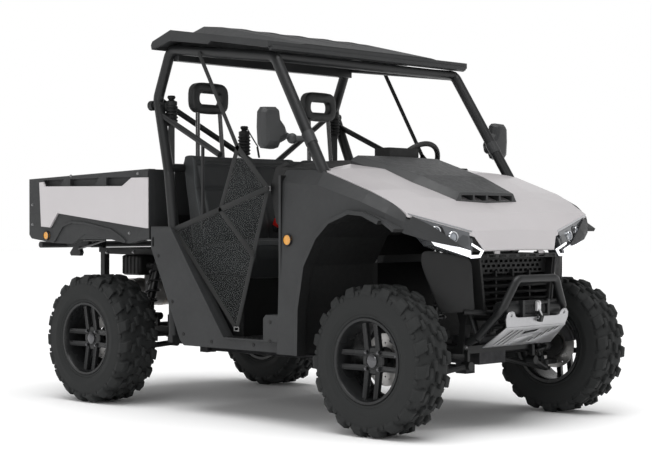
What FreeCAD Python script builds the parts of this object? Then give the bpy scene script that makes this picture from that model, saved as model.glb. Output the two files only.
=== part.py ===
# Side by side utility vehicle with a tipping cargo bed. Millimetres.
# +X is forward, +Y is the vehicle's left, +Z is up, and the ground is z = 0.
import FreeCAD, Part
import math
import os

V = FreeCAD.Vector

# Stance
FRONT_AXLE_X = 1140
REAR_AXLE_X = -900
FRONT_TRACK = 1368
REAR_TRACK = 1300
TYRE_R = 342
FRONT_TYRE_W = 212
REAR_TYRE_W = 256
LUG_H = 18

# Wheel
TREAD_PITCHES = 19
LUG_W = 56
LUG_SLANT = 0.42
BEAD_R = 182
CARCASS_BULGE_R = (BEAD_R + TYRE_R) / 2
RIM_WALL = 8
RIM_LIP_R = 194
HUB_R = 42
SPOKE_PAIRS = 4
SPOKE_PAIR_HALF_ANGLE = 17
SPOKE_GROOVE = 6
NUT_CIRCLE_R = 52
SPOKE_W = 26
SPOKE_T = 24
DISC_R = 118
DISC_T = 6

# Steering
KINGPIN_Y = 575
BALL_JOINT_RISE = 96
STEER_ARM = 120
STEER_ARM_DROP = 50
SPINDLE_R = 17
RUNNING_GAP = 0.3
MOVING_GAP = 5
TIE_ROD_R = 10
RACK_R = 13
STEERING_WHEEL_R = 165
STEERING_WHEEL_TUBE_R = 14
STEERING_X = 395
STEERING_Z = 1240
COLUMN_SLOPE = 35
COLUMN_R = 26

# Cab
DRIVER_Y = 413
SILL_BOTTOM_Z = 343
FLOOR_Z = 399
FLOOR_T = 12
TOE_HALF_W = 300
ARCH_X = 702
SEAT_BASE_Z = 690
SEAT_SPLIT_Y = 198
SKIN = 14
CAGE_R = 27
BRACE_R = 15
ROOF_HALF_W = 750

# Cargo bed
BED_FRONT_X = -440
BED_REAR_X = -1483
BED_HALF_W = 705
BED_WALL = 42
BED_FLOOR_Z = 905
BED_BOTTOM_Z = 870
BED_RAIL_Z_FRONT = 1238
BED_RAIL_Z_REAR = 1204
TAILGATE_T = 36
BED_PIVOT_X = -1400
BED_PIVOT_Z = 838
GATE_PIVOT_X = -1465
GATE_PIVOT_Z = 906
GATE_PIN = 24

# Frame
RAIL_Y = 250
TUBE = 36
FRAME_REAR_X = -1380
FRAME_TOP_Z = 800
STRUT_X = FRONT_AXLE_X + 67
ARM_BUSH_R = 20
SPINE_Z = 258

WHEEL_Z = TYRE_R
FRONT_WHEEL_Y = FRONT_TRACK / 2
REAR_WHEEL_Y = REAR_TRACK / 2
RAIL_TOP = FLOOR_Z - FLOOR_T
RAIL_Z = RAIL_TOP - TUBE / 2


def box(x0, x1, y0, y1, z0, z1):
    return Part.makeBox(x1 - x0, y1 - y0, z1 - z0, V(x0, y0, z0))


def rod(start, end, radius):
    a, b = V(*start), V(*end)
    return Part.makeCylinder(radius, (b - a).Length, a, b - a)


def side_prism(points, y0, y1):
    """A polygon of (x, z) points, as thick as from y0 to y1."""
    corners = [V(x, y0, z) for x, z in points]
    return Part.Face(Part.makePolygon(corners + corners[:1])).extrude(V(0, y1 - y0, 0))


def plan_prism(points, z0, z1):
    """A polygon of (x, y) points, as tall as from z0 to z1."""
    corners = [V(x, y, z0) for x, y in points]
    return Part.Face(Part.makePolygon(corners + corners[:1])).extrude(V(0, 0, z1 - z0))


def front_prism(points, x0, x1):
    """A polygon of (y, z) points, as long as from x0 to x1."""
    corners = [V(x0, y, z) for y, z in points]
    return Part.Face(Part.makePolygon(corners + corners[:1])).extrude(V(x1 - x0, 0, 0))


def strip(points, width):
    """The outline of a bar of one width along a path in a plane, with mitred corners."""
    left, right = [], []
    for k, (a, b) in enumerate(points):
        sides = []
        for p, q in ((k - 1, k), (k, k + 1)):
            if p >= 0 and q < len(points):
                du, dv = points[q][0] - points[p][0], points[q][1] - points[p][1]
                length = math.hypot(du, dv)
                sides.append((-dv / length, du / length))
        nu = sum(s[0] for s in sides) / len(sides)
        nv = sum(s[1] for s in sides) / len(sides)
        reach = width / 2 / (nu * nu + nv * nv)
        left.append((a + nu * reach, b + nv * reach))
        right.append((a - nu * reach, b - nv * reach))
    return left + right[::-1]


def side_bar(points, y):
    return side_prism(strip(points, TUBE), y - TUBE / 2, y + TUBE / 2)


def cross_bar(x, z, half=RAIL_Y):
    return box(x - TUBE / 2, x + TUBE / 2, -half, half, z - TUBE / 2, z + TUBE / 2)


def pipe(points, radius, bend):
    """A round bar along straight runs joined by tangent arcs."""
    spots = [V(*p) for p in points]
    edges = []
    last = spots[0]
    for before, corner, after in zip(spots, spots[1:], spots[2:]):
        u = (before - corner).normalize()
        w = (after - corner).normalize()
        half = u.getAngle(w) / 2
        reach = bend / math.tan(half)
        start = corner + u * reach
        end = corner + w * reach
        middle = corner + (u + w).normalize() * (bend / math.sin(half) - bend)
        edges.append(Part.LineSegment(last, start).toShape())
        edges.append(Part.Arc(start, middle, end).toShape())
        last = end
    edges.append(Part.LineSegment(last, spots[-1]).toShape())
    circle = Part.Wire(Part.makeCircle(radius, spots[0], spots[1] - spots[0]))
    return Part.Wire(edges).makePipeShell([circle], True, True)


def skin(stations, thickness):
    """A sheet lofted along X through half sections of (y, z) points, mirrored across the middle."""
    wires = []
    for x, points, drop in stations:
        top = [(y, z) for y, z in points]
        outer = [(-y, z) for y, z in reversed(top[1:])] + top
        inner = [(y, z - thickness * drop) for y, z in reversed(outer)]
        corners = [V(x, y, z) for y, z in outer + inner]
        wires.append(Part.makePolygon(corners + corners[:1]))
    return Part.makeLoft(wires, True, True)


def revolve_y(points, centre):
    """A closed (radius, y) outline turned about the axle through the centre."""
    corners = [V(centre[0], centre[1] + y, centre[2] + r) for r, y in points]
    face = Part.Face(Part.makePolygon(corners + corners[:1]))
    return face.revolve(V(*centre), V(0, 1, 0), 360)


def mirrored(shape):
    return shape.mirror(V(0, 0, 0), V(0, 1, 0))


def both(shape):
    return [shape, mirrored(shape)]


def fused(shapes):
    whole = shapes[0]
    for shape in shapes[1:]:
        whole = whole.fuse(shape)
    return whole.removeSplitter()


def overlaps(a, b):
    return a.BoundBox.intersect(b.BoundBox)


def less(shape, others):
    """The shape with what the others fill taken out."""
    for other in others:
        if overlaps(shape, other):
            shape = shape.cut(other)
    return shape


def save(name, shape):
    solids = [s for s in shape.Solids if s.Volume > 500]
    Part.makeCompound(solids).exportStep("parts/" + name + ".step")
    print(name, len(solids), all(s.isValid() for s in solids))
    return Part.makeCompound(solids)


# Wheels, made at the origin with the outer side towards +Y

def faceted_ring(outline, count):
    """A closed (radius, y) outline swept round the Y axis in flat facets."""
    faces = []
    spokes = [V(math.sin(2 * math.pi * (k + 0.5) / count), 0, math.cos(2 * math.pi * (k + 0.5) / count))
              for k in range(count)]
    for here, following in zip(spokes, spokes[1:] + spokes[:1]):
        for (r0, y0), (r1, y1) in zip(outline, outline[1:] + outline[:1]):
            corners = [here * r0 + V(0, y0, 0), here * r1 + V(0, y1, 0),
                       following * r1 + V(0, y1, 0), following * r0 + V(0, y0, 0)]
            faces.append(Part.Face(Part.makePolygon(corners + corners[:1])))
    ring = Part.makeSolid(Part.makeShell(faces))
    if ring.Volume < 0:
        ring.reverse()
    return ring


def lug(half, side):
    """One tread block at the top of the wheel, from near the middle out over the shoulder."""
    root = TYRE_R - LUG_H
    corner = LUG_W / 2 + LUG_SLANT * half / 2
    top = math.sqrt(TYRE_R ** 2 - corner ** 2)
    outline = [(7, root - 8), (7, top), (half * 0.80, top), (half, root - 20), (half * 0.86, root - 34)]
    corners = [V(LUG_SLANT * (y - half / 2) - LUG_W / 2, side * y, r) for y, r in outline]
    return Part.Face(Part.makePolygon(corners + corners[:1])).extrude(V(LUG_W, 0, 0))


def tyre(width):
    """A flat-faceted carcass with its air space, and two staggered rows of slanted lugs."""
    half = width / 2
    root = TYRE_R - LUG_H
    flat = 1 / math.cos(math.pi / TREAD_PITCHES)
    outline = [(BEAD_R * flat, -half * 0.80), (CARCASS_BULGE_R, -half * 0.97), (root - 6, -half * 0.88),
               (root - 6, half * 0.88), (CARCASS_BULGE_R, half * 0.97), (BEAD_R * flat, half * 0.80),
               (BEAD_R * flat, half * 0.56), (root - 26, 0), (BEAD_R * flat, -half * 0.56)]
    lugs = []
    for k in range(TREAD_PITCHES):
        for side in (-1, 1):
            block = lug(half, side)
            block.rotate(V(0, 0, 0), V(0, 1, 0), (k + (side - 1) * 0.25) * 360 / TREAD_PITCHES)
            lugs.append(block)
    return faceted_ring(outline, TREAD_PITCHES).multiFuse(lugs).removeSplitter()


def rim(width):
    """A barrel with rolled lips, four pairs of grooved spokes, a cap, lug nuts and the brake disc."""
    half = width / 2 * 0.8
    face_y = half - 32
    barrel_r = BEAD_R - RIM_WALL
    barrel = revolve_y([(BEAD_R, -half), (RIM_LIP_R, -half - 7), (RIM_LIP_R, -half - 14),
                        (barrel_r, -half - 14),
                        (barrel_r, half + 6), (barrel_r + 5, half + 14), (RIM_LIP_R, half + 14),
                        (RIM_LIP_R, half + 7), (BEAD_R, half)], (0, 0, 0))
    hub = rod((0, face_y - 100, 0), (0, face_y - 8, 0), NUT_CIRCLE_R + 16)
    cap = rod((0, face_y - 100, 0), (0, face_y + 8, 0), HUB_R * 0.7)
    bore = rod((0, face_y - 100, 0), (0, face_y - 30, 0), SPINDLE_R + RUNNING_GAP)
    disc = rod((0, face_y - 94, 0), (0, face_y - 94 + DISC_T, 0), DISC_R)
    spokes = []
    cuts = [bore]
    for pair in range(SPOKE_PAIRS):
        turn = pair * 360 / SPOKE_PAIRS
        for side in (-1, 1):
            spoke = side_prism([(HUB_R * 0.5, -SPOKE_W * 0.7), (barrel_r + 3, -SPOKE_W / 2),
                                (barrel_r + 3, SPOKE_W / 2), (HUB_R * 0.5, SPOKE_W * 0.7)],
                               face_y - SPOKE_T, face_y)
            groove = box(HUB_R * 1.7, barrel_r - 14, face_y - 6, face_y + 1,
                         -SPOKE_GROOVE / 2, SPOKE_GROOVE / 2)
            for piece, pile in ((spoke, spokes), (groove, cuts)):
                piece.rotate(V(0, 0, 0), V(0, 1, 0), turn + side * SPOKE_PAIR_HALF_ANGLE)
                pile.append(piece)
        nut = rod((NUT_CIRCLE_R, face_y - 20, 0), (NUT_CIRCLE_R, face_y + 3, 0), 9)
        nut.rotate(V(0, 0, 0), V(0, 1, 0), turn + 45)
        spokes.append(nut)
    return less(fused([barrel, hub, cap, disc] + spokes), cuts)


def wheel(name, x, y, width):
    place = V(x, abs(y), WHEEL_Z)
    pieces = []
    for part_name, shape in (("tyre_", tyre(width)), ("rim_", rim(width))):
        shape = shape.translated(place)
        if y < 0:
            shape = mirrored(shape)
        pieces.append(save(part_name + name, shape))
    return pieces


def hub_inner_y(wheel_y, width):
    return wheel_y + width / 2 * 0.8 - 132


# Steered uprights, made on the left

def knuckle():
    x = FRONT_AXLE_X
    plate_y = hub_inner_y(FRONT_WHEEL_Y, FRONT_TYRE_W) - MOVING_GAP
    spindle_end = plate_y + MOVING_GAP + 66
    plate = rod((x, plate_y - 18, WHEEL_Z), (x, plate_y, WHEEL_Z), 62)
    spindle = rod((x, plate_y - 4, WHEEL_Z), (x, spindle_end, WHEEL_Z), SPINDLE_R)
    pieces = [plate, spindle]
    for side in (-1, 1):
        z = WHEEL_Z + side * (BALL_JOINT_RISE - 12)
        boss = rod((x, KINGPIN_Y, z - 12), (x, KINGPIN_Y, z + 12), 24)
        web = side_prism([(x - 24, WHEEL_Z + side * 40), (x + 24, WHEEL_Z + side * 40),
                          (x + 22, z + side * 12), (x - 22, z + side * 12)], plate_y - 18, plate_y - 2)
        neck = box(x - 20, x + 20, KINGPIN_Y, plate_y - 10, z - 12, z + 12)
        pieces += [boss, web, neck]
    arm_z = WHEEL_Z - STEER_ARM_DROP
    arm = box(x - STEER_ARM, x - 40, plate_y - 42, plate_y - 18, arm_z - 8, arm_z + 8)
    foot = box(x - 56, x - 30, plate_y - 42, plate_y - 4, arm_z - 8, arm_z + 8)
    end = rod((x - STEER_ARM, plate_y - 30, arm_z - 8), (x - STEER_ARM, plate_y - 30, arm_z + 8), 16)
    shape = fused(pieces + [arm, foot, end])
    pin_hole = rod((x, KINGPIN_Y, WHEEL_Z - 120), (x, KINGPIN_Y, WHEEL_Z + 120), 9 + RUNNING_GAP)
    return shape.cut(pin_hole), plate_y - 30, arm_z + 8


def wishbone(outer, inner_front, inner_rear, radius):
    """Two tubes from bushes on the frame that meet at the outer joint."""
    eye = rod((outer[0], outer[1], outer[2] - 8), (outer[0], outer[1], outer[2] + 8), 22)
    legs = [rod(outer, end, radius) for end in (inner_front, inner_rear)]
    bushes = [rod((end[0] - 24, end[1], end[2]), (end[0] + 24, end[1], end[2]), ARM_BUSH_R)
              for end in (inner_front, inner_rear)]
    return fused([eye] + legs + bushes)


def front_arms():
    x = FRONT_AXLE_X
    pieces = []
    for side, ahead, behind in ((-1, 150, 60), (1, 10, 120)):
        boss_end = WHEEL_Z + side * BALL_JOINT_RISE
        z = boss_end + side * (MOVING_GAP + 16)
        inner_z = WHEEL_Z + side * 70 + 25
        shape = wishbone((x, KINGPIN_Y, z), (x + ahead, RAIL_Y, inner_z), (x - behind, RAIL_Y, inner_z), 13)
        pin = rod((x, KINGPIN_Y, boss_end - side * 20), (x, KINGPIN_Y, z), 9)
        pieces.append(fused([shape, pin]))
    return pieces


def rear_arms():
    x = REAR_AXLE_X
    plate_y = hub_inner_y(REAR_WHEEL_Y, REAR_TYRE_W) - MOVING_GAP
    plate = rod((x, plate_y - 30, WHEEL_Z), (x, plate_y, WHEEL_Z), 62)
    spindle = rod((x, plate_y - 4, WHEEL_Z), (x, plate_y + MOVING_GAP + 66, WHEEL_Z), SPINDLE_R)
    pieces = [plate, spindle]
    for side, ahead, behind in ((-1, 130, 130), (1, -10, 130)):
        z = WHEEL_Z + side * 80
        inner_z = WHEEL_Z + side * 70 + 30
        pieces.append(wishbone((x, plate_y - 24, z), (x + ahead, RAIL_Y, inner_z),
                               (x - behind, RAIL_Y, inner_z), 15))
        pieces.append(box(x - 22, x + 22, plate_y - 30, plate_y - 8, min(z, WHEEL_Z), max(z, WHEEL_Z)))
    return fused(pieces)


def shock(low, high, body_r, rod_r):
    a, b = V(*low), V(*high)
    axis = b - a
    middle = a + axis * 0.5
    eyes = [rod((p.x - 16, p.y, p.z), (p.x + 16, p.y, p.z), 16) for p in (a, b)]
    tube = Part.makeCylinder(body_r, axis.Length * 0.5, middle, axis)
    stem = Part.makeCylinder(rod_r, axis.Length * 0.5, a, axis)
    seats = [Part.makeCylinder(body_r + 18, 8, a + axis * 0.10, axis),
             Part.makeCylinder(body_r + 18, 8, a + axis * 0.86, axis)]
    return fused([tube, stem] + eyes + seats)


def spring(low, high, coil_r, wire, turns, steps=10):
    """A coil of square wire between the two seats of a shock, flat-faced from step to step."""
    a, b = V(*low), V(*high)
    axis = b - a
    start = a + axis * 0.10 + axis / axis.Length * (8 + wire)
    length = axis.Length * 0.76 - 8 - 2 * wire
    turn = FreeCAD.Rotation(V(0, 0, 1), axis)
    rings = []
    for k in range(turns * steps + 1):
        angle = 2 * math.pi * k / steps
        out = V(math.cos(angle), math.sin(angle), 0)
        lift = V(0, 0, length * k / (turns * steps))
        corners = [out * (coil_r + u) + lift + V(0, 0, v)
                   for u, v in ((wire, 0), (0, wire), (-wire, 0), (0, -wire))]
        rings.append([start + turn.multVec(c) for c in corners])
    faces = []
    for ring, following in zip(rings, rings[1:]):
        for k in range(4):
            p, q, r, s = ring[k], ring[(k + 1) % 4], following[(k + 1) % 4], following[k]
            faces.append(Part.Face(Part.makePolygon([p, q, r, p])))
            faces.append(Part.Face(Part.makePolygon([p, r, s, p])))
    for ring in (rings[0], rings[-1]):
        faces.append(Part.Face(Part.makePolygon(ring + ring[:1])))
    coil = Part.makeSolid(Part.makeShell(faces))
    if coil.Volume < 0:
        coil.reverse()
    return coil


# Body skin: one loft that the hood and the cowl share

NOSE_X = 1406
HOOD_PIVOT_X = 1396
HOOD_PIVOT_Z = 816
HOOD_BARREL_R = 8
HOOD_PIN_R = 4
HINGE_Y = 150
HINGE_W = 40
HOOD_STATIONS = [
    (540, [(0, 1268), (300, 1266), (600, 1245), (720, 1222)], 1),
    (832, [(0, 1206), (330, 1216), (560, 1213), (720, 1201)], 1),
    (1111, [(0, 1096), (300, 1105), (480, 1112), (717, 1103)], 1.1),
    (1200, [(0, 1058), (280, 1068), (455, 1074), (708, 1060)], 1.2),
    (1300, [(0, 1000), (300, 1008), (500, 1012), (690, 1002)], 1.4),
    (1384, [(0, 925), (300, 921), (460, 917), (560, 912)], 2),
    (NOSE_X, [(0, 838), (270, 836), (360, 834), (420, 832)], 0.6),
]
HOOD_EDGE = [(642, 300), (662, 372), (832, 719), (1111, 715), (1300, 688), (1384, 316), (NOSE_X + 4, 262)]


def hood_plan(grow):
    """The hood's outline from above, with its edge moved out by a gap."""
    corners = [V(x, y, 700) for x, y in HOOD_EDGE + [(x, -y) for x, y in reversed(HOOD_EDGE)]]
    outline = Part.Face(Part.makePolygon(corners + corners[:1]))
    if grow:
        outline = outline.makeOffset2D(grow, 2)
    return outline.extrude(V(0, 0, 700))


def hood_room():
    """The space that the hood and the way it lifts need, which everything fixed keeps out of."""
    raised = []
    for x, points, drop in HOOD_STATIONS:
        high = [(y, z + 120) for y, z in points]
        edge = [(high[-1][0] + 2 * MOVING_GAP, high[-1][1])]
        raised.append((x, high + edge, SKIN * drop + 121 + MOVING_GAP * max(drop, 1)))
    over = skin(raised, 1).common(hood_plan(MOVING_GAP + 1))
    reach = HOOD_BARREL_R + MOVING_GAP
    hinge = box(HOOD_PIVOT_X - reach, HOOD_PIVOT_X + 24, HINGE_Y - 1, HINGE_Y + HINGE_W + 1, HOOD_PIVOT_Z - reach,
                HOOD_PIVOT_Z + 84)
    return fused([over, hinge, mirrored(hinge)])


def hood_axle(y0, y1, radius):
    return rod((HOOD_PIVOT_X, y0, HOOD_PIVOT_Z), (HOOD_PIVOT_X, y1, HOOD_PIVOT_Z), radius)


def hood_barrel(y0, y1):
    """A hinge barrel under the hood's front lip, with the web that joins it to the lip."""
    x = HOOD_PIVOT_X
    web = side_prism([(x - 5, HOOD_PIVOT_Z), (x + 7, HOOD_PIVOT_Z), (x + 7, 845), (x - 5, 880)], y0, y1)
    bore = hood_axle(y0 - 1, y1 + 1, HOOD_PIN_R + RUNNING_GAP)
    return fused([hood_axle(y0, y1, HOOD_BARREL_R), web]).cut(bore)


def hood_bracket(y0, y1):
    """Two cheeks on the grille with the pin that the barrel between them turns on."""
    x = HOOD_PIVOT_X
    pieces = [hood_axle(y0 - 9, y1 + 9, HOOD_PIN_R)]
    for low in (y0 - 9, y1 + 1):
        pieces.append(box(x - 16, x + 6, low, low + 8, HOOD_PIVOT_Z - 20, HOOD_PIVOT_Z + 7))
    return fused(pieces)


def scoop():
    wires = []
    for x, points in ((652, [(0, 1290), (300, 1287), (362, 1262)]),
                      (1000, [(0, 1188), (240, 1185), (306, 1146)]),
                      (1210, [(0, 1102), (205, 1099), (234, 1056)])):
        outer = [(-y, z) for y, z in reversed(points[1:])] + points
        low = points[-1][1] - 26
        corners = [V(x, y, z) for y, z in outer + [(points[-1][0], low), (-points[-1][0], low)]]
        wires.append(Part.makePolygon(corners + corners[:1]))
    cells = [box(1120, 1215, y - 44, y + 44, 1064, 1088) for y in (-150, -50, 50, 150)]
    return less(Part.makeLoft(wires, True, True).common(hood_plan(0)), cells)


ARCH_LINE = [(716, 300), (722, 560), (760, 760), (840, 890), (921, 961), (1044, 1004), (1130, 996),
             (1224, 958), (1353, 876), (1420, 834)]
FENDER_STATIONS = [(583, 716, 1214, 760, 1150, 786), (832, 722, 1199, 772, 1130, 788),
                   (1111, 720, 1100, 778, 1050, 790), (1230, 706, 1046, 752, 1000, 766),
                   (1300, 690, 1000, 706, 960, 716), (1352, 566, 940, 600, 900, 606),
                   (1400, 420, 850, 440, 838, 444)]
ARCH_BEAD = 9
STEP_X = (484, 583)


def fender():
    """Front fender, door column with its foot step, arch lip and arch liner, on the left."""
    outer = []
    for x, top_y, top_z, mid_y, mid_z, low_y in FENDER_STATIONS:
        points = [(top_y, top_z), (mid_y, mid_z), (low_y, SILL_BOTTOM_Z), (low_y - SKIN, SILL_BOTTOM_Z),
                  (mid_y - SKIN, mid_z - SKIN), (top_y - SKIN * 1.5, top_z - SKIN)]
        corners = [V(x, y, z) for y, z in points]
        outer.append(Part.makePolygon(corners + corners[:1]))
    shell = Part.makeLoft(outer, True, True)
    shell = shell.cut(side_prism(ARCH_LINE + [(1600, 834), (1600, 300)], 300, 900))
    lip = side_prism(strip(ARCH_LINE[:8], 2 * ARCH_BEAD), 740, 798)
    liner_out = [(702, 348), (708, 563), (748, 768), (831, 902), (915, 974), (1044, 1018), (1134, 1010),
                 (1232, 971), (1300, 930)]
    liner_in = [(1292, 916), (1224, 958), (1130, 996), (1044, 1004), (921, 961), (840, 890), (760, 760),
                (722, 560), (716, 348)]
    liner = side_prism(liner_out + liner_in, 300, 775)
    column_back = side_prism([(583, SILL_BOTTOM_Z), (597, SILL_BOTTOM_Z), (597, 1180), (583, 1180)], 640, 775)
    step = side_prism([(STEP_X[0], FLOOR_Z), (STEP_X[1] + 4, FLOOR_Z), (STEP_X[1] + 4, 524), (502, 524),
                       (STEP_X[0], 506)], 664, 780)
    return fused([shell, lip.cut(box(600, 1400, 700, 800, 0, SILL_BOTTOM_Z)), liner, column_back, step])


def quarter():
    """Side sill, the panel behind the door opening with its drain slot, and its inner return, on the left."""
    outline = [(-411, 940), (-411, 827), (-320, 647), (-188, SILL_BOTTOM_Z + 26), (-160, SILL_BOTTOM_Z),
               (580, SILL_BOTTOM_Z), (580, FLOOR_Z), (150, FLOOR_Z), (-85, 711), (-253, 940)]
    panel = side_prism(outline, 660, 725)
    rear_edges = [e for e in panel.Edges if e.BoundBox.YMin > 724 and e.BoundBox.XMax < -150]
    panel = panel.makeChamfer(10, rear_edges)
    slot = box(-392, -376, 715, 740, 838, 884)
    ledge = side_prism(strip([(580, FLOOR_Z - 4), (158, FLOOR_Z - 4), (-74, 706), (-240, 936)], 8), 725, 738)
    return fused([panel.cut(slot), ledge])


LAMP_FRONT = [(1296, 684, 1000), (1380, 318, 918), (1402, 356, 797), (1352, 562, 856)]
LAMP_DEPTH = (-70, -14, -4)


def lamp_spot(across, down, out=0):
    """A point of the lamp's face by its shares of the way across and down, moved out by a distance."""
    a, b, c, d = (V(*p) for p in LAMP_FRONT)
    top = a + (b - a) * across
    low = d + (c - d) * across
    return top + (low - top) * down - V(*LAMP_DEPTH).normalize() * out


def lamp_solid(shares, back, front):
    """A raised or sunk form on the lamp's face, from a polygon of shares."""
    rings = [[lamp_spot(u, v, out) for u, v in shares] for out in (front, back)]
    middles = [sum((p for p in ring[1:]), ring[0]) / len(ring) for ring in rings]
    faces = []
    for k in range(len(shares)):
        following = (k + 1) % len(shares)
        for ring, middle in zip(rings, middles):
            faces.append(Part.Face(Part.makePolygon([ring[k], ring[following], middle, ring[k]])))
        a, b, c, d = rings[0][k], rings[0][following], rings[1][following], rings[1][k]
        faces.append(Part.Face(Part.makePolygon([a, b, c, a])))
        faces.append(Part.Face(Part.makePolygon([a, c, d, a])))
    solid = Part.makeSolid(Part.makeShell(faces))
    if solid.Volume < 0:
        solid.reverse()
    return solid


def headlight():
    """Lamp body with an upper bezel, a light strip along its lower and inner edges, and two projectors."""
    body = lamp_solid([(0, 0), (1, 0), (1, 1), (0, 1)], -73, 0)
    strip_form = lamp_solid([(0.02, 0.72), (0.76, 0.70), (0.82, 0.24), (0.91, 0.24), (0.93, 0.97), (0.02, 0.98)],
                            -10, 4)
    bezel = lamp_solid([(0.04, 0.04), (0.92, 0.04), (0.84, 0.15), (0.04, 0.15)], -10, 3)
    pieces = [body, strip_form, bezel]
    for across in (0.30, 0.62):
        spot = lamp_spot(across, 0.43)
        pieces.append(Part.makeCylinder(26, 22, spot + V(*LAMP_DEPTH).normalize() * 16,
                                        V(*LAMP_DEPTH).normalize() * -1))
    return fused(pieces)


GRILLE_FRAME = [(-300, 815), (-262, 560), (-200, 520), (200, 520), (262, 560), (300, 815)]


def grille():
    """A deep frame with a raised bead, slats, and a perforated plate above them."""
    frame = front_prism(GRILLE_FRAME, 1290, 1392)
    hollow = front_prism([(-276, 795), (-242, 574), (-188, 540), (188, 540), (242, 574), (276, 795)], 1310, 1420)
    bead = front_prism(strip(GRILLE_FRAME, 16), 1380, 1398).common(front_prism(GRILLE_FRAME, 1370, 1400))
    slats = [side_prism([(1330, z), (1376, z - 8), (1384, z + 2), (1338, z + 14)], -280, 280).common(hollow)
             for z in range(572, 716, 32)]
    plate = box(1340, 1352, -280, 280, 722, 800).common(hollow)
    ribs = [box(1330, 1366, y - 5, y + 5, 560, 736).common(hollow) for y in (-130, 0, 130)]
    holes = []
    for row, z in enumerate((736, 758, 780)):
        for k in range(-6, 7):
            y = k * 38 + (row % 2) * 19
            if abs(y) < 236:
                holes.append(box(1330, 1360, y - 12, y + 12, z - 6, z + 6))
    return fused([frame.cut(hollow), bead, less(plate, holes)] + slats + ribs)


def roof():
    """Roof panel with a raised crown, side skirts and a turned-down rear edge."""
    profile = [(488, 1796), (488, 1822), (-220, 1931), (-360, 1884), (-352, 1862), (-222, 1898), (480, 1790)]
    plate = side_prism(profile, -ROOF_HALF_W, ROOF_HALF_W)
    crown = []
    for x, half, low, high in ((470, 560, 1818, 1830), (-60, 640, 1900, 1950), (-215, 620, 1922, 1968)):
        crown.append(Part.makePolygon([V(x, -half, low), V(x, half, low), V(x, half * 0.85, high),
                                       V(x, -half * 0.85, high), V(x, -half, low)]))
    skirt = side_prism([(-360, 1884), (-352, 1846), (-222, 1876), (60, 1838), (100, 1862), (-222, 1912)],
                       ROOF_HALF_W - SKIN, ROOF_HALF_W)
    tip = side_prism([(-352, 1866), (-360, 1884), (-372, 1866), (-366, 1842), (-356, 1842)], -ROOF_HALF_W,
                     ROOF_HALF_W)
    brow = side_prism([(488, 1798), (496, 1802), (496, 1784), (478, 1776), (470, 1790)], -ROOF_HALF_W + 20,
                      ROOF_HALF_W - 20)
    return fused([plate, Part.makeLoft(crown, True, True), skirt, mirrored(skirt), tip, brow])


def cage_side(radius=CAGE_R):
    """One side hoop: up inside the fender, through the cowl, over the door opening and down to the frame."""
    return pipe([(660, 690, RAIL_TOP), (660, 690, 960), (835, 706, 1152), (461, 676, 1752), (-318, 660, 1848),
                 (-420, 660, 1600), (-288, 700, 1210), (-262, 690, 920), (-262, 690, RAIL_TOP)], radius, 60)


def cage_cross():
    """Cross bars, the flat header behind the heads, hip bars, and the V of braces at the back."""
    pieces = [rod((461, -676, 1752), (461, 676, 1752), CAGE_R - 4), rod((-318, -660, 1848), (-318, 660, 1848), 24),
              rod((-300, -700, 1240), (-300, 700, 1240), 22), box(-310, -270, -650, 650, 1786, 1838)]
    for side in (-1, 1):
        pieces.append(rod((-418, side * 660, 1600), (-300, 0, 1240), BRACE_R))
        pieces.append(rod((-380, side * 668, 1512), (96, side * 700, 1293), BRACE_R))
        pieces.append(rod((-40, side * 692, 1352), (-40, side * 692, 930), 9))
        pieces.append(rod((-380, side * 666, 1566), (-470, side * 666, 1566), 17))
        pieces.append(rod((-440, side * 666, 1566), (-470, side * 666, 1566), 26))
    return fused(pieces)


def seat_cushion(y0, y1):
    """A cushion with a raised panel for each seating place."""
    profile = [(-240, SEAT_BASE_Z), (240, SEAT_BASE_Z), (262, 764), (290, 776), (292, 828), (282, 862), (256, 874),
               (-200, 838), (-250, 790)]
    panels = [side_prism([(-110, 836), (-100, 854), (232, 882), (250, 870)], low, high)
              for low, high in seat_panels(y0, y1)]
    return fused([side_prism(profile, y0, y1)] + panels)


def retractor(x, y, z):
    """A belt reel under a ribbed cover, with the webbing that leaves it."""
    outline = [(0, 0)]
    for k in range(4):
        low = k * 32
        outline += [(34, low), (34, low + 18), (28, low + 20), (28, low + 30)]
    outline += [(0, 130)]
    corners = [V(x + r, y, z - 130 + h) for r, h in outline]
    body = Part.Face(Part.makePolygon(corners + corners[:1])).revolve(V(x, y, z - 130), V(0, 0, 1), 360)
    cap = rod((x, y, z - 4), (x, y, z + 26), 22)
    return fused([body, cap])


def belt_webbing(x, y, top, low):
    return box(x - 24, x + 24, y - 2, y + 2, low, top)


def seat_back(y0, y1):
    """A backrest with rounded top corners and a raised middle panel."""
    profile = [(-190, 812), (-80, 830), (-215, 1290), (-250, 1325), (-300, 1320), (-315, 1280)]
    outline = box(-400, 0, y0, y1, 700, 1340)
    top_edges = [e for e in outline.Edges if e.BoundBox.ZMin > 1339 and e.BoundBox.XLength > 300]
    outline = outline.makeFillet(60, top_edges)
    pad = [(-105, 868), (-78, 884), (-184, 1240), (-216, 1246)]
    panels = []
    for low, high in seat_panels(y0, y1):
        panels.append(side_prism(pad, low, high))
    return fused([side_prism(profile, y0, y1).common(outline)] + panels)


def seat_panels(y0, y1):
    """The sides of each seating place's stitched panel across a cushion."""
    places = 1 if y1 - y0 < 500 else 2
    width = (y1 - y0) / places
    return [(y0 + k * width + 52, y0 + (k + 1) * width - 52) for k in range(places)]


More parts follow.
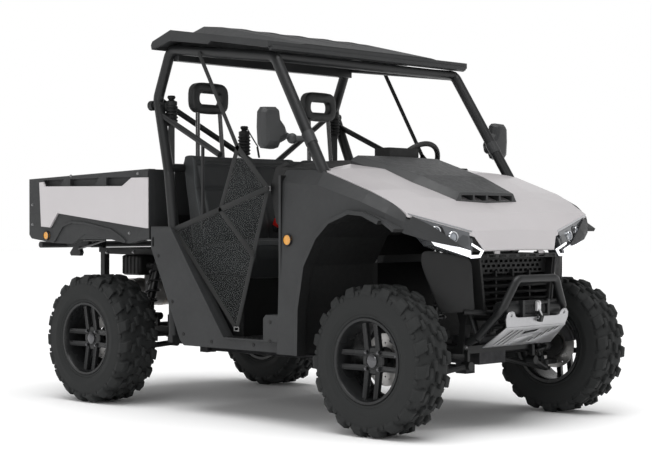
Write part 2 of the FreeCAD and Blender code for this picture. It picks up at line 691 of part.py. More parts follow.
def headrest(y):
    """A rounded block with an oval hole, on two posts."""
    block = box(-350, -270, y - 122, y + 122, 1526, 1692)
    block = block.makeFillet(48, [e for e in block.Edges if e.BoundBox.XLength > 70])
    hole = box(-360, -260, y - 36, y + 36, 1582, 1638)
    hole = hole.makeFillet(26, [e for e in hole.Edges if e.BoundBox.XLength > 70])
    posts = [rod((-288, y + s * 60, 1290), (-300, y + s * 60, 1530), 8) for s in (-1, 1)]
    return fused([block.cut(hole)] + posts)


def mirror_unit():
    """A rounded mirror case on a ball stem, clamped to the front post of the cage."""
    case = box(592, 650, 800, 928, 1270, 1490)
    case = case.makeFillet(34, [e for e in case.Edges if e.BoundBox.XLength > 50])
    case = case.makeFillet(14, [e for e in case.Edges if e.BoundBox.XMin > 649])
    glass = box(586, 594, 812, 916, 1290, 1470)
    stem = rod((600, 690, 1352), (618, 790, 1342), 15)
    ball = Part.makeSphere(29, V(618, 788, 1342))
    clamp = rod((716, 690, 1310), (560, 680, 1390), 20)
    return fused([case, glass, stem, ball, clamp])


NET_EDGE = [(218, 1326), (432, 1122), (212, 440), (-246, 926), (95, 1024)]
NET_Y = 696
HEM_W = 26


def net():
    """Side net with its hems, the two bands across it, and the strap up to the roof rail."""
    sheet = side_prism(NET_EDGE, NET_Y - 1.5, NET_Y + 1.5)
    bands = [NET_EDGE + NET_EDGE[:2], [NET_EDGE[3], NET_EDGE[4], NET_EDGE[1]],
             [NET_EDGE[4], (330, 806)], [(-63, 1806), (224, 1316)]]
    pieces = [sheet]
    for band in bands:
        for start, end in zip(band, band[1:]):
            pieces.append(side_prism(strip([start, end], HEM_W), NET_Y - 3, NET_Y + 3))
    return fused(pieces)


def floor_tub():
    """Flat floor up to the wheel arches, a sloping toe board between them, and the seat's box."""
    floor = box(-330, ARCH_X, -658, 658, FLOOR_Z - FLOOR_T, FLOOR_Z)
    tunnel = box(ARCH_X, 888, -TOE_HALF_W, TOE_HALF_W, FLOOR_Z - FLOOR_T, FLOOR_Z)
    toe = side_prism([(888, FLOOR_Z - FLOOR_T), (900, FLOOR_Z - FLOOR_T), (640, 760), (560, 1000), (548, 1000),
                      (628, 756)], -TOE_HALF_W, TOE_HALF_W)
    cheek = side_prism([(ARCH_X, FLOOR_Z), (884, FLOOR_Z), (ARCH_X, 654)], TOE_HALF_W - FLOOR_T, TOE_HALF_W)
    plinth = box(-330, 200, -640, 640, FLOOR_Z, SEAT_BASE_Z)
    inside = box(-318, 188, -628, 628, FLOOR_Z, SEAT_BASE_Z - FLOOR_T)
    back = box(-330, -318, -640, 640, FLOOR_Z, 1000)
    return fused([floor, tunnel, toe, cheek, mirrored(cheek), plinth.cut(inside), back])


def dash_body():
    profile = [(545, 1250), (470, 1225), (430, 1130), (470, 960), (560, 880), (600, 900), (600, 1180)]
    body = side_prism(profile, -680, 680)
    display = box(500, 600, -10, 215, 1240, 1338)
    return fused([body, display])


def chassis_frame():
    pieces = []
    for side in (-1, 1):
        y = side * RAIL_Y
        pieces.append(side_bar([(1300, 640), (1262, RAIL_Z), (-1150, RAIL_Z), (FRAME_REAR_X, 530),
                                (FRAME_REAR_X, FRAME_TOP_Z)], y))
        pieces.append(side_bar([(1282, 480), (1180, FRAME_TOP_Z), (700, FRAME_TOP_Z - 20), (700, RAIL_Z)], y))
        pieces.append(side_bar([(-430, RAIL_Z), (-480, FRAME_TOP_Z - 8), (FRAME_REAR_X, FRAME_TOP_Z)], y))
        pieces.append(side_bar([(-980, RAIL_Z), (-980, FRAME_TOP_Z)], y))
        for x in (-262, 660):
            pieces.append(box(x - TUBE / 2, x + TUBE / 2, min(y, side * 716), max(y, side * 716),
                              RAIL_TOP - TUBE, RAIL_TOP))
        for x, low, high in ((FRONT_AXLE_X + 150, 297, 320), (FRONT_AXLE_X - 60, 297, 320),
                             (FRONT_AXLE_X + 10, 410, 437), (FRONT_AXLE_X - 120, 410, 437),
                             (REAR_AXLE_X + 130, 302, 330), (REAR_AXLE_X - 130, 302, 442),
                             (REAR_AXLE_X - 10, 410, 442)):
            pieces.append(box(x - 10, x + 10, y - 9, y + 9, min(low, RAIL_Z), max(high, RAIL_Z)))
        shelf = box(STRUT_X - 40, STRUT_X + 22, RAIL_Y, 322, FRAME_TOP_Z, FRAME_TOP_Z + 14)
        pad = box(-600, -560, RAIL_Y - 18, RAIL_Y + 18, FRAME_TOP_Z, BED_BOTTOM_Z - RUNNING_GAP)
        ear = fused([box(BED_PIVOT_X - 18, BED_PIVOT_X + 18, 240, 264, FRAME_TOP_Z - 10, BED_PIVOT_Z),
                     rod((BED_PIVOT_X, 240, BED_PIVOT_Z), (BED_PIVOT_X, 264, BED_PIVOT_Z), 18)])
        pin = rod((BED_PIVOT_X, 250, BED_PIVOT_Z), (BED_PIVOT_X, 330, BED_PIVOT_Z), 10)
        rear_shelf = box(REAR_AXLE_X + 20, REAR_AXLE_X + 100, RAIL_Y, 312, FRAME_TOP_Z - 4, FRAME_TOP_Z + 10)
        for piece in (shelf, pad, ear, pin, rear_shelf):
            pieces.append(piece if side > 0 else mirrored(piece))
    for x, z in ((1262, RAIL_Z), (700, RAIL_Z), (-430, RAIL_Z), (-740, RAIL_Z), (-1150, RAIL_Z),
                 (FRAME_REAR_X, FRAME_TOP_Z), (-1250, FRAME_TOP_Z), (-480, FRAME_TOP_Z - 8), (1180, FRAME_TOP_Z),
                 (FRAME_REAR_X, 522)):
        pieces.append(cross_bar(x, z))
    return fused(pieces)


BED_SIDE_LOW = [(BED_REAR_X, 893), (-1460, 872), (-1256, 848), (-1083, 844), (-1024, 875), (-982, 897), (-899, 893),
                (-752, 871), (-648, 853), (-600, 851), (BED_FRONT_X, 880)]
BED_ARCH_LINE = [(-1247, 856), (-1169, 942), (-1091, 963), (-982, 958), (-752, 922), (-672, 887), (-626, 860)]
RAIL_SLOTS = [[(-1346, 1195), (-1164, 1197), (-1198, 1163), (-1330, 1163)],
              [(-1108, 1197), (-854, 1199), (-897, 1158), (-1108, 1160)],
              [(-794, 1200), (-572, 1197), (-647, 1155), (-794, 1157)]]
BED_ARM_Y = 420
SLOT_DEPTH = 24


def bed_side():
    """The left wall of the bed, with its slotted rail, wheel arch bead and front latch."""
    wall = side_prism(BED_SIDE_LOW + [(BED_FRONT_X, BED_RAIL_Z_FRONT), (BED_REAR_X, BED_RAIL_Z_REAR)],
                      BED_HALF_W - BED_WALL, BED_HALF_W)
    slots = [side_prism(points, BED_HALF_W - SLOT_DEPTH, BED_HALF_W + 1) for points in RAIL_SLOTS]
    bead = side_prism(strip(BED_ARCH_LINE, 12), BED_HALF_W - 2, BED_HALF_W + 8)
    latch = box(-476, BED_FRONT_X, BED_HALF_W - 2, BED_HALF_W + 9, 1196, 1228)
    return fused([less(wall, slots), bead, latch])


def bed_tub():
    side = bed_side()
    front = box(BED_FRONT_X - BED_WALL, BED_FRONT_X, -BED_HALF_W + 2, BED_HALF_W - 2, BED_BOTTOM_Z + 20,
                BED_RAIL_Z_FRONT - 2)
    floor = box(BED_REAR_X + TAILGATE_T + 24, BED_FRONT_X, -BED_HALF_W + 2, BED_HALF_W - 2, BED_BOTTOM_Z,
                BED_FLOOR_Z)
    bar = rod((-1522, -600, 836), (-1522, 600, 836), 18)
    arms = [box(-1520, -1300, s * BED_ARM_Y - 12, s * BED_ARM_Y + 12, 824, BED_BOTTOM_Z + 1) for s in (-1, 1)]
    arms += [side_prism([(-1436, 826), (-1474, 788), (-1462, 772), (-1384, 772), (-1372, 790), (-1390, 826)],
                        s * BED_ARM_Y - 12, s * BED_ARM_Y + 12) for s in (-1, 1)]
    pivots = [rod((BED_PIVOT_X, s * 300 - 30, BED_PIVOT_Z), (BED_PIVOT_X, s * 300 + 30, BED_PIVOT_Z), 20)
              for s in (-1, 1)]
    ears = [box(BED_PIVOT_X - 16, BED_PIVOT_X + 16, s * 300 - 30, s * 300 + 30, BED_PIVOT_Z, BED_BOTTOM_Z + 5)
            for s in (-1, 1)]
    bore = rod((BED_PIVOT_X, -340, BED_PIVOT_Z), (BED_PIVOT_X, 340, BED_PIVOT_Z), 10 + RUNNING_GAP)
    gate_pins = [rod((GATE_PIVOT_X, s * (BED_HALF_W - BED_WALL - GATE_PIN), GATE_PIVOT_Z),
                     (GATE_PIVOT_X, s * (BED_HALF_W - BED_WALL + 2), GATE_PIVOT_Z), 7) for s in (-1, 1)]
    return fused([side, mirrored(side), front, floor, bar] + arms + pivots + ears + gate_pins).cut(bore)


def bed_panel():
    """The painted side panel, notched over the wheel arch and folded in at its front edge."""
    outline = [(-1374, 1184), (-1357, 939), (-1277, 934), (-1207, 1012), (-460, 931), (-444, 931), (-444, 1194),
               (-570, 1194), (-647, 1152), (-1324, 1161), (-1340, 1186)]
    panel = side_prism(outline, BED_HALF_W, BED_HALF_W + 12)
    fold = plan_prism([(-548, BED_HALF_W + 13), (-440, BED_HALF_W + 13), (-440, BED_HALF_W + 3)], 900, 1200)
    return panel.cut(fold)


def tailgate():
    """The drop panel, bored at both ends for its hinge pins and rounded below about them."""
    inner = BED_HALF_W - BED_WALL - MOVING_GAP
    panel = box(BED_REAR_X, BED_REAR_X + TAILGATE_T, -inner, inner, GATE_PIVOT_Z, BED_RAIL_Z_REAR - 6)
    foot = rod((GATE_PIVOT_X, -inner, GATE_PIVOT_Z), (GATE_PIVOT_X, inner, GATE_PIVOT_Z), TAILGATE_T / 2)
    bores = [rod((GATE_PIVOT_X, s * (inner + 1), GATE_PIVOT_Z), (GATE_PIVOT_X, s * (inner - GATE_PIN), GATE_PIVOT_Z),
                 7 + RUNNING_GAP) for s in (-1, 1)]
    return less(fused([panel, foot]), bores)


def bull_bar():
    hoop = pipe([(1350, -250, 430), (1480, -238, 560), (1500, -150, 700), (1500, 150, 700), (1480, 238, 560),
                 (1350, 250, 430)], 19, 40)
    feet = [rod((1350, s * 250, 430), (1275, s * 240, 400), 19) for s in (-1, 1)]
    ties = [rod((1350, s * 250, 430), (1290, s * 262, 600), 10) for s in (-1, 1)]
    return fused([hoop] + feet + ties)


PLATE_T = 6


def plate_form(shares, thickness=PLATE_T, lift=0):
    """A flat form on the plate's sloping lower face, from (y, share of the way down) points."""
    high, low = V(1500, 0, 480), V(1388, 0, 388)
    normal = V(-(low - high).z, 0, (low - high).x).normalize()
    if normal.x < 0:
        normal = normal * -1
    corners = [high + (low - high) * share + V(0, y, 0) + normal * lift for y, share in shares]
    return Part.Face(Part.makePolygon(corners + corners[:1])).extrude(normal * thickness)


def front_plate():
    """Bent skid plate: an upright face with drilled ears, and a sloping one with slots and a raised panel."""
    upright = front_prism([(-226, 480), (-240, 520), (-218, 556), (-196, 560), (-178, 548), (-160, 528),
                           (160, 528), (178, 548), (196, 560), (218, 556), (240, 520), (226, 480)],
                          1500 - PLATE_T, 1500)
    upright.rotate(V(1500, 0, 480), V(0, 1, 0), 11)
    slope = plate_form([(-226, 0), (226, 0), (262, 1), (-262, 1)], PLATE_T, -PLATE_T)
    cuts = [rod((1480, s * 204, 540), (1540, s * 204, 540), 7) for s in (-1, 1)]
    for k in range(3):
        y = -196 + k * 34
        cuts.append(plate_form([(y + 36, 0.16), (y + 44, 0.16), (y - 2, 0.86), (y - 10, 0.86)], 3 * PLATE_T, -12))
    for y, low, high in ((60, 0.62, 0.80), (92, 0.40, 0.72), (124, 0.22, 0.50), (156, 0.18, 0.30)):
        cuts.append(plate_form([(y, low), (y + 18, low), (y + 10, high), (y - 8, high)], 3 * PLATE_T, -12))
    cuts.append(plate_form([(-52, 0.24), (48, 0.18), (40, 0.26), (-56, 0.36)], 3 * PLATE_T, -12))
    raised = plate_form([(-62, 0.52), (38, 0.44), (22, 0.84), (-88, 0.88)], 5, -1)
    return fused([less(fused([upright, slope]), cuts), raised])


def winch():
    """Drum between two gear cases on a tray, a roller fairlead, and the hook at the rope's end."""
    outline = [(9, -212), (38, -212), (42, -206), (42, -102)]
    for k in range(8):
        y = -84 + k * 24
        outline += [(32, y - 8), (38, y), (38, y + 4)]
    outline += [(32, 98), (42, 102), (42, 206), (38, 212), (9, 212)]
    drum = faceted_ring(outline, 20).translated(V(1446, 0, 556))
    axle = rod((1446, -214, 556), (1446, 214, 556), 14)
    tray = box(1262, 1482, -200, 200, 506, 520)
    fairlead = [box(1489, 1498, -92, 92, 522, 536), box(1489, 1498, -92, 92, 582, 594)]
    fairlead += [box(1476, 1500, s * 96 - 9, s * 96 + 9, 512, 602) for s in (-1, 1)]
    rope = rod((1446, 0, 574), (1506, 0, 576), 6)
    shank = box(1502, 1516, -12, 12, 552, 590)
    hook = side_prism(strip([(1504, 572), (1516, 548), (1530, 524), (1524, 506), (1508, 508)], 12), -9, 9)
    gate = side_prism(strip([(1512, 556), (1506, 530), (1510, 510)], 5), -5, 5)
    return fused([drum, axle, tray, rope, shank, hook, gate] + fairlead)


def steering_axis():
    slope = math.radians(COLUMN_SLOPE)
    return V(math.cos(slope), 0, -math.sin(slope))


def steering_wheel():
    axis = steering_axis()
    centre = V(STEERING_X, DRIVER_Y, STEERING_Z)
    ring = Part.makeTorus(STEERING_WHEEL_R, STEERING_WHEEL_TUBE_R, centre, axis)
    hub = Part.makeCylinder(40, 44, centre - axis * 6, axis)
    spokes = []
    side = V(0, 1, 0)
    up = side.cross(axis)
    for direction in (side, -side, -up if up.z > 0 else up):
        spokes.append(Part.makeCylinder(11, STEERING_WHEEL_R, centre, direction))
    bore = Part.makeCylinder(9 + RUNNING_GAP, 30, centre + axis * 10, axis)
    return fused([ring, hub] + spokes).cut(bore)


def steering_column():
    axis = steering_axis()
    start = V(STEERING_X, DRIVER_Y, STEERING_Z) + axis * (38 + MOVING_GAP)
    jacket = Part.makeCylinder(COLUMN_R, 300, start, axis)
    spindle = Part.makeCylinder(9, 40, start - axis * 30, axis)
    low = start + axis * 290
    shaft = rod(tuple(low), (1000, 200, 392), 11)
    return fused([jacket, spindle, shaft])


def rack(arm_end_y, arm_top_z):
    z = arm_top_z + 3 + 9
    x = FRONT_AXLE_X - STEER_ARM
    bar = rod((x, -320, z), (x, 320, z), RACK_R)
    rods = [rod((x, s * 300, z), (x, s * (arm_end_y - 10), z), TIE_ROD_R) for s in (-1, 1)]
    ends = [rod((x, s * arm_end_y, z - 9), (x, s * arm_end_y, z + 9), 16) for s in (-1, 1)]
    housing = rod((x, -190, z), (x, 190, z), 27)
    beam = rod((x, -RAIL_Y, RAIL_Z), (x, RAIL_Y, RAIL_Z), 12)
    lugs = [box(x - 14, x + 14, s * 130 - 14, s * 130 + 14, min(z + 20, RAIL_Z), max(z + 20, RAIL_Z))
            for s in (-1, 1)]
    housing = fused([housing, beam] + lugs).cut(rod((x, -200, z), (x, 200, z), RACK_R + RUNNING_GAP))
    return fused([bar] + rods + ends), housing


def drive_line():
    """Front and rear gear cases, the shaft between them under the rack, and the half shafts to each hub."""
    front_y = KINGPIN_Y
    rear_y = hub_inner_y(REAR_WHEEL_Y, REAR_TYRE_W) - MOVING_GAP - 30
    shafts = [rod((FRONT_AXLE_X, -front_y, WHEEL_Z), (FRONT_AXLE_X, front_y, WHEEL_Z), 15),
              rod((REAR_AXLE_X, -rear_y, WHEEL_Z), (REAR_AXLE_X, rear_y, WHEEL_Z), 15)]
    boots = [Part.makeSphere(32, V(FRONT_AXLE_X, s * front_y, WHEEL_Z)) for s in (-1, 1)]
    cases = [box(1075, 1262 - TUBE / 2, -100, 100, 290, 420), box(-990, -760, -110, 110, 280, 440)]
    spine = rod((1080, 0, SPINE_Z), (-780, 0, SPINE_Z), 16)
    necks = [box(1046, 1110, -34, 34, SPINE_Z - 24, 330), box(-800, -740, -34, 34, SPINE_Z - 24, 330)]
    return [fused(cases + shafts + boots + [spine] + necks)]


def hitch_receiver():
    top = 522 - TUBE / 2
    tube = box(-1450, -1350, -32, 32, top - 64, top)
    socket = box(-1460, -1370, -25.5, 25.5, top - 57.5, top - 6.5)
    pin_hole = rod((-1415, -40, top - 32), (-1415, 40, top - 32), 8)
    return tube.cut(socket).cut(pin_hole)


def pedals():
    pieces = []
    for y, half in ((330, 26), (450, 44)):
        pad = box(626, 640, y - half, y + half, 500, 570)
        pad = pad.makeFillet(12, [e for e in pad.Edges if e.BoundBox.XLength > 13])
        lever = side_prism(strip([(644, 506), (638, 600), (582, 910)], 12), y - 8, y + 8)
        pieces.append(fused([pad, lever]))
    return pieces


def build():
    os.makedirs("parts", exist_ok=True)
    wheel("front_left", FRONT_AXLE_X, FRONT_WHEEL_Y, FRONT_TYRE_W)
    wheel("front_right", FRONT_AXLE_X, -FRONT_WHEEL_Y, FRONT_TYRE_W)
    wheel("rear_left", REAR_AXLE_X, REAR_WHEEL_Y, REAR_TYRE_W)
    wheel("rear_right", REAR_AXLE_X, -REAR_WHEEL_Y, REAR_TYRE_W)
    upright, arm_end_y, arm_top_z = knuckle()
    save("knuckle_left", upright)
    save("knuckle_right", mirrored(upright))
    bars, housing = rack(arm_end_y, arm_top_z)
    save("steering_rack", bars)
    save("steering_wheel", steering_wheel())

    # The chassis: each piece gives way to those before it, so that they seat on one another
    placed = []

    def put(name, shapes):
        shape = Part.makeCompound([less(s, placed) for s in shapes])
        placed.append(save(name, shape))

    put("cage_sides", both(cage_side()))
    put("cage_cross", [cage_cross()])
    put("chassis_frame", [fused([chassis_frame(), housing])])
    arms = []
    for shape in front_arms() + [rear_arms()]:
        arms += both(shape)
    put("suspension_arms", arms)
    front_low, front_high = (STRUT_X, 430, 288), (STRUT_X, 300, FRAME_TOP_Z - 14)
    rear_low, rear_high = (REAR_AXLE_X + 61, 430, 309), (REAR_AXLE_X + 61, 290, FRAME_TOP_Z - 18)
    put("shock_absorbers", both(shock(front_low, front_high, 24, 10))
        + both(shock(rear_low, rear_high, 24, 10)))
    put("springs", both(spring(front_low, front_high, 37, 6, 6))
        + both(spring(rear_low, rear_high, 37, 6, 6)))
    put("engine", [box(-760, -380, -210, 180, RAIL_TOP, 760)])
    put("drive_line", drive_line())
    put("muffler", [fused([rod((-1250, -170, 560), (-1250, 190, 560), 80),
                           box(-1256, -1244, -60, 60, 560, FRAME_TOP_Z - TUBE / 2)])])
    put("hitch_receiver", [hitch_receiver()])
    put("steering_column", [steering_column()])
    put("floor_tub", [floor_tub()])
    put("quarter_panels", both(quarter()))
    room = hood_room()
    put("front_fenders", [piece.cut(room) for piece in both(fender())])
    top = skin(HOOD_STATIONS, SKIN)
    cowl = top.common(box(500, 1000, -721, 721, 1000, 1400))
    put("dashboard", [fused([cowl, dash_body()]).cut(room)])
    put("headlights", [piece.cut(room) for piece in both(headlight())])
    put("grille", [fused([grille().cut(room)] + both(hood_bracket(HINGE_Y, HINGE_Y + HINGE_W)))])
    put("roof", [roof()])
    put("seat_cushions", [seat_cushion(-640, SEAT_SPLIT_Y - 6), seat_cushion(SEAT_SPLIT_Y + 6, 640)])
    put("seat_backs", [seat_back(-640, SEAT_SPLIT_Y - 6), seat_back(SEAT_SPLIT_Y + 6, 640)])
    put("headrests", both(headrest(DRIVER_Y)))
    reel = fused([retractor(-372, 612, 1590), box(-410, -372, 604, 650, 1540, 1580),
                  belt_webbing(-372, 612, 1470, 1250)])
    centre_reel = fused([retractor(-322, 0, 1392), belt_webbing(-304, 2, 1340, 1322)])
    put("seat_belts", both(reel) + [centre_reel])
    put("pedals", pedals())
    put("mirrors", both(mirror_unit()))
    put("side_nets", both(net()))
    put("bull_bar", [bull_bar()])
    put("winch", [winch()])
    put("front_plate", [front_plate()])
    put("reflectors", both(rod((642, 764, 878), (642, 779, 878), 26)))

    insert = scoop()
    pillars = both(cage_side(CAGE_R + MOVING_GAP + 1))
    panel = less(top.common(hood_plan(0)).cut(insert), pillars)
    panel = fused([panel] + both(hood_barrel(HINGE_Y, HINGE_Y + HINGE_W)))
    save("hood_panel", panel)
    save("hood_scoop", insert)

    save("bed_tub", bed_tub())
    save("bed_side_panels", Part.makeCompound(both(bed_panel())))
    reflector = rod((-1317, BED_HALF_W, 889), (-1317, BED_HALF_W + 8, 889), 24)
    save("bed_reflectors", Part.makeCompound(both(reflector)))
    lamp = box(BED_REAR_X - 6, BED_REAR_X, BED_HALF_W - 37, BED_HALF_W - 5, 960, 1120)
    save("bed_lamps", Part.makeCompound(both(lamp)))
    save("tailgate", tailgate())


build()
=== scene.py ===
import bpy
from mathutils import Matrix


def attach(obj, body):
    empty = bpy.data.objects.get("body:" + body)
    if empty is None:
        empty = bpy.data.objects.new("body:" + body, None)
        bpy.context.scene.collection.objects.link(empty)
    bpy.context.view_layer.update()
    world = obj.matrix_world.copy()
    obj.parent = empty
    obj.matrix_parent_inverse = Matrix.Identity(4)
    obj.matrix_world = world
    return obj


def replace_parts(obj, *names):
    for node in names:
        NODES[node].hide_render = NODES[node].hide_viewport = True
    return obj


bl_info = {
    "name": "Side by side utility vehicle",
    "version": (1, 0, 0),
    "blender": (4, 5, 0),
    "location": "View3D > Sidebar > Vehicle",
    "description": "Dresses the packed vehicle with its tyres, seats, nets, lamps and finishes",
    "category": "Object",
}

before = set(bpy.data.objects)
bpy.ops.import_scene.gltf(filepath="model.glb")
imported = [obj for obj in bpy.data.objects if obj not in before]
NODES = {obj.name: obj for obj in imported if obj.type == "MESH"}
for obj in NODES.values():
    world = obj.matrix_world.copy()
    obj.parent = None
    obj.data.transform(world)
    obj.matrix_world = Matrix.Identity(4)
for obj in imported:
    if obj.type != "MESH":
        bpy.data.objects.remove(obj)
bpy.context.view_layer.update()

import math

import bpy
from bpy.props import FloatProperty, FloatVectorProperty, IntProperty, PointerProperty
from mathutils import Matrix, Vector
from mathutils.geometry import intersect_point_line

X, Y, Z = Vector((1, 0, 0)), Vector((0, 1, 0)), Vector((0, 0, 1))
AXLE_Z = 0.342
FRONT_X, FRONT_Y, REAR_X, REAR_Y = 1.14, 0.684, -0.9, 0.65
AXLES = {"front": 0.212, "rear": 0.256}
WHEELS = {"front_right": (FRONT_X, -FRONT_Y), "front_left": (FRONT_X, FRONT_Y),
          "rear_right": (REAR_X, -REAR_Y), "rear_left": (REAR_X, REAR_Y)}
RIM_SHARE = 0.8  # Width of the rim as a share of the tyre's
HUB_DEPTH = 0.032  # From the rim's outer edge in to the hub's face
WAVE_SCALE = 0.314  # The wave texture's scale for one crest a metre
SQUARE_ON = 0.9  # Least part of its normal along an axis for a face that looks that way
SAME_SPOT, SAME_SPOT_FINE = 1e-5, 1e-7  # Points nearer than this merge


# Shader maths

class Shade:
    """One socket of a node tree, on which Python's operators add Math or Vector Math nodes."""

    def __init__(self, maker, socket, kind="value"):
        self.maker = maker
        self.socket = socket
        self.kind = kind

    def _with(self, operation, first, second):
        """Adds one operation, on vectors where either side is one."""
        vector = "vector" in (getattr(first, "kind", "value"), getattr(second, "kind", "value"))
        kind, gives = ("VectorMath", "vector") if vector else ("Math", "value")
        return self.maker.node(kind, {0: first, 1: second}, gives, operation=operation)

    def __add__(self, other):
        return self._with("ADD", self, other)

    def __mul__(self, other):
        return self._with("MULTIPLY", self, other)

    def __rsub__(self, other):
        return self._with("SUBTRACT", other, self)


class Finish:
    """A material under construction."""

    def __init__(self, name):
        self.material = bpy.data.materials.new(name)
        self.material.use_nodes = True
        self.tree = self.material.node_tree
        self.shader = self.tree.nodes["Principled BSDF"]
        self.coordinates = self.tree.nodes.new("ShaderNodeTexCoord")

    def put(self, socket, value):
        """Links a socket to a Shade, or sets it to a value."""
        if isinstance(value, Shade):
            self.tree.links.new(value.socket, socket)
        elif isinstance(value, tuple) and len(value) == 3 and socket.type == "RGBA":
            socket.default_value = (*value, 1)
        else:
            socket.default_value = value

    def node(self, kind, inputs, gives="value", output=0, **settings):
        """Adds a node, fills its inputs and gives one of its outputs."""
        made = self.tree.nodes.new("ShaderNode" + kind)
        for key, value in settings.items():
            setattr(made, key, value)
        for key, value in inputs.items():
            self.put(made.inputs[key], value)
        return Shade(self, made.outputs[output], gives)

    def place(self, stretch=(1, 1, 1)):
        """The point on the piece, in the piece's own metres."""
        point = Shade(self, self.coordinates.outputs["Object"], "vector")
        if stretch == (1, 1, 1):
            return point
        return self.node("Mapping", {"Vector": point, "Scale": stretch}, "vector")

    def noise(self, scale, detail=2.0, stretch=(1, 1, 1), roughness=0.5):
        """A cloudy value over the piece."""
        return self.node("TexNoise", {"Vector": self.place(stretch), "Scale": scale, "Detail": detail,
                                      "Roughness": roughness})

    def cells(self, scale, feature="F1"):
        """A value that grows from the middle of each of many small cells."""
        return self.node("TexVoronoi", {"Vector": self.place(), "Scale": scale}, feature=feature)

    def stripes(self, pitch, direction):
        """A soft wave across the surface, one crest to each pitch in metres."""
        return self.node("TexWave", {"Vector": self.place(), "Scale": WAVE_SCALE / pitch, "Distortion": 0.0},
                         output=1, wave_type="BANDS", bands_direction=direction)

    def band(self, value, low=0.3, high=0.7, dark=0.0, light=1.0):
        """Runs from dark to light between two values; a noise mostly lies between the usual ones."""
        return self.node("MapRange", {"Value": value, "From Min": low, "From Max": high, "To Min": dark,
                                      "To Max": light}, clamp=True)

    def vary(self, value, middle, less, more):
        """A number about a middle that follows a noise."""
        return self.band(value, dark=middle - less, light=middle + more)

    def mix(self, factor, first, second):
        """A colour between two by a factor."""
        made = self.tree.nodes.new("ShaderNodeMix")
        made.data_type = "RGBA"
        self.put(made.inputs["Factor"], factor)
        for name, value in (("A", first), ("B", second)):
            self.put(next(s for s in made.inputs if s.name == name and s.type == "RGBA"), value)
        return Shade(self, next(s for s in made.outputs if s.type == "RGBA"), "colour")

    def edges(self, radius):
        """The normal as if each sharp edge were rounded by this radius."""
        return self.node("Bevel", {"Radius": radius}, "vector", samples=6)

    def bump(self, height, distance, strength=1.0, edge=None):
        """The normal over a height, with rounded edges where a radius is given."""
        inputs = {"Height": height, "Distance": distance, "Strength": strength}
        if edge is not None:
            inputs["Normal"] = self.edges(edge)
        return self.node("Bump", inputs, "vector")

    def finish(self, **sockets):
        """Fills the shader's sockets and gives the material."""
        for name, value in sockets.items():
            self.put(self.shader.inputs[name.replace("_", " ")], value)
        return self.material


# Finishes

def tint(colour, factor):
    """A colour made lighter or darker."""
    return tuple(min(1.0, c * factor) for c in colour)


def body_paint(colour):
    """Satin painted panel: a faint flake and orange peel under a clear coat."""
    f = Finish("silver_paint")
    flake = f.band(f.cells(2600), 0.0, 0.6)
    base = f.mix(f.band(f.noise(3.5, 3)), tint(colour, 0.97), tint(colour, 1.02))
    return f.finish(Base_Color=f.mix(flake * 0.08, base, (0.9, 0.9, 0.9)), Metallic=0.1,
                    Roughness=f.band(f.noise(9, 3), dark=0.34, light=0.42), Coat_Weight=0.35, Coat_Roughness=0.15,
                    Normal=f.bump(f.noise(420, 1), 0.00008, 0.5, 0.004))


def moulded_plastic(name, colour, rough=0.55, grain=1400, depth=0.00018, edge=0.003, shaded_arch_axle=None):
    """Grained moulded plastic, paler where it is rubbed, with painted shade on the faces that turn towards the axle of
    its wheel well.
    """
    f = Finish(name)
    worn = f.noise(38, 5, roughness=0.65)
    base = f.mix(f.band(f.noise(5, 4), 0.25, 0.75), tint(colour, 0.86), tint(colour, 1.10))
    base = f.mix(f.band(worn, 0.58, 0.75, 0.0, 0.3), base, tint(colour, 1.35))
    # Painted shade: the faces inside the wheel well that turn towards the given axle are darkened to near black.
    if shaded_arch_axle:
        normal = Shade(f, f.coordinates.outputs["Normal"], "vector")
        inwards = (shaded_arch_axle - f.place()) * (1, 0, 1)
        arch_shade = f.node("VectorMath", {0: normal, 1: inwards}, output=1, operation="DOT_PRODUCT")
        base = f.mix(f.band(arch_shade, 0.02, 0.10), base, tint(colour, 0.20))
    return f.finish(Base_Color=base, Roughness=f.vary(worn, rough, 0.07, 0.08), Specular_IOR_Level=0.30,
                    Normal=f.bump(f.cells(grain), depth, 0.7, edge))


def powder_coat(name, colour, rough=0.38, edge=0.0015):
    """Tough black coat with orange peel and a few scuffs."""
    f = Finish(name)
    cloud = f.noise(7, 3)
    scuffs = f.band(f.noise(60, 6, roughness=0.7), 0.66, 0.74, 0.0, 0.4)
    base = f.mix(scuffs, f.mix(f.band(cloud), tint(colour, 0.8), tint(colour, 1.2)), tint(colour, 2.2))
    return f.finish(Base_Color=base, Roughness=f.vary(cloud, rough, 0.05, 0.07), Specular_IOR_Level=0.32,
                    Normal=f.bump(f.noise(900, 1), 0.00012, 0.6, edge))


def brushed_metal(name, colour, rough=0.32, stretch=(1, 60, 1), edge=0.001):
    """Bare metal with a brushed grain and cloudy stains."""
    f = Finish(name)
    grain, cloud = f.noise(30, 3, stretch, 0.6), f.noise(6, 4)
    base = f.mix(f.band(grain), tint(colour, 0.85), tint(colour, 1.08))
    base = f.mix(f.band(cloud, 0.45, 0.8, 0.0, 0.25), base, tint(colour, 0.7))
    return f.finish(Base_Color=base, Metallic=0.9, Roughness=f.vary(cloud, rough, 0.06, 0.1),
                    Normal=f.bump(grain, 0.00006, 0.6, edge))


def cast_metal(name, colour, rough=0.55, edge=0.002):
    """Cast metal with a gritty skin and oily stains."""
    f = Finish(name)
    stain = f.noise(14, 5, roughness=0.7)
    base = f.mix(f.band(stain, 0.35, 0.7), colour, tint(colour, 0.6))
    return f.finish(Base_Color=base, Metallic=0.85, Roughness=f.vary(stain, rough, 0.08, 0.1),
                    Normal=f.bump(f.noise(700, 3), 0.0003, 0.7, edge))


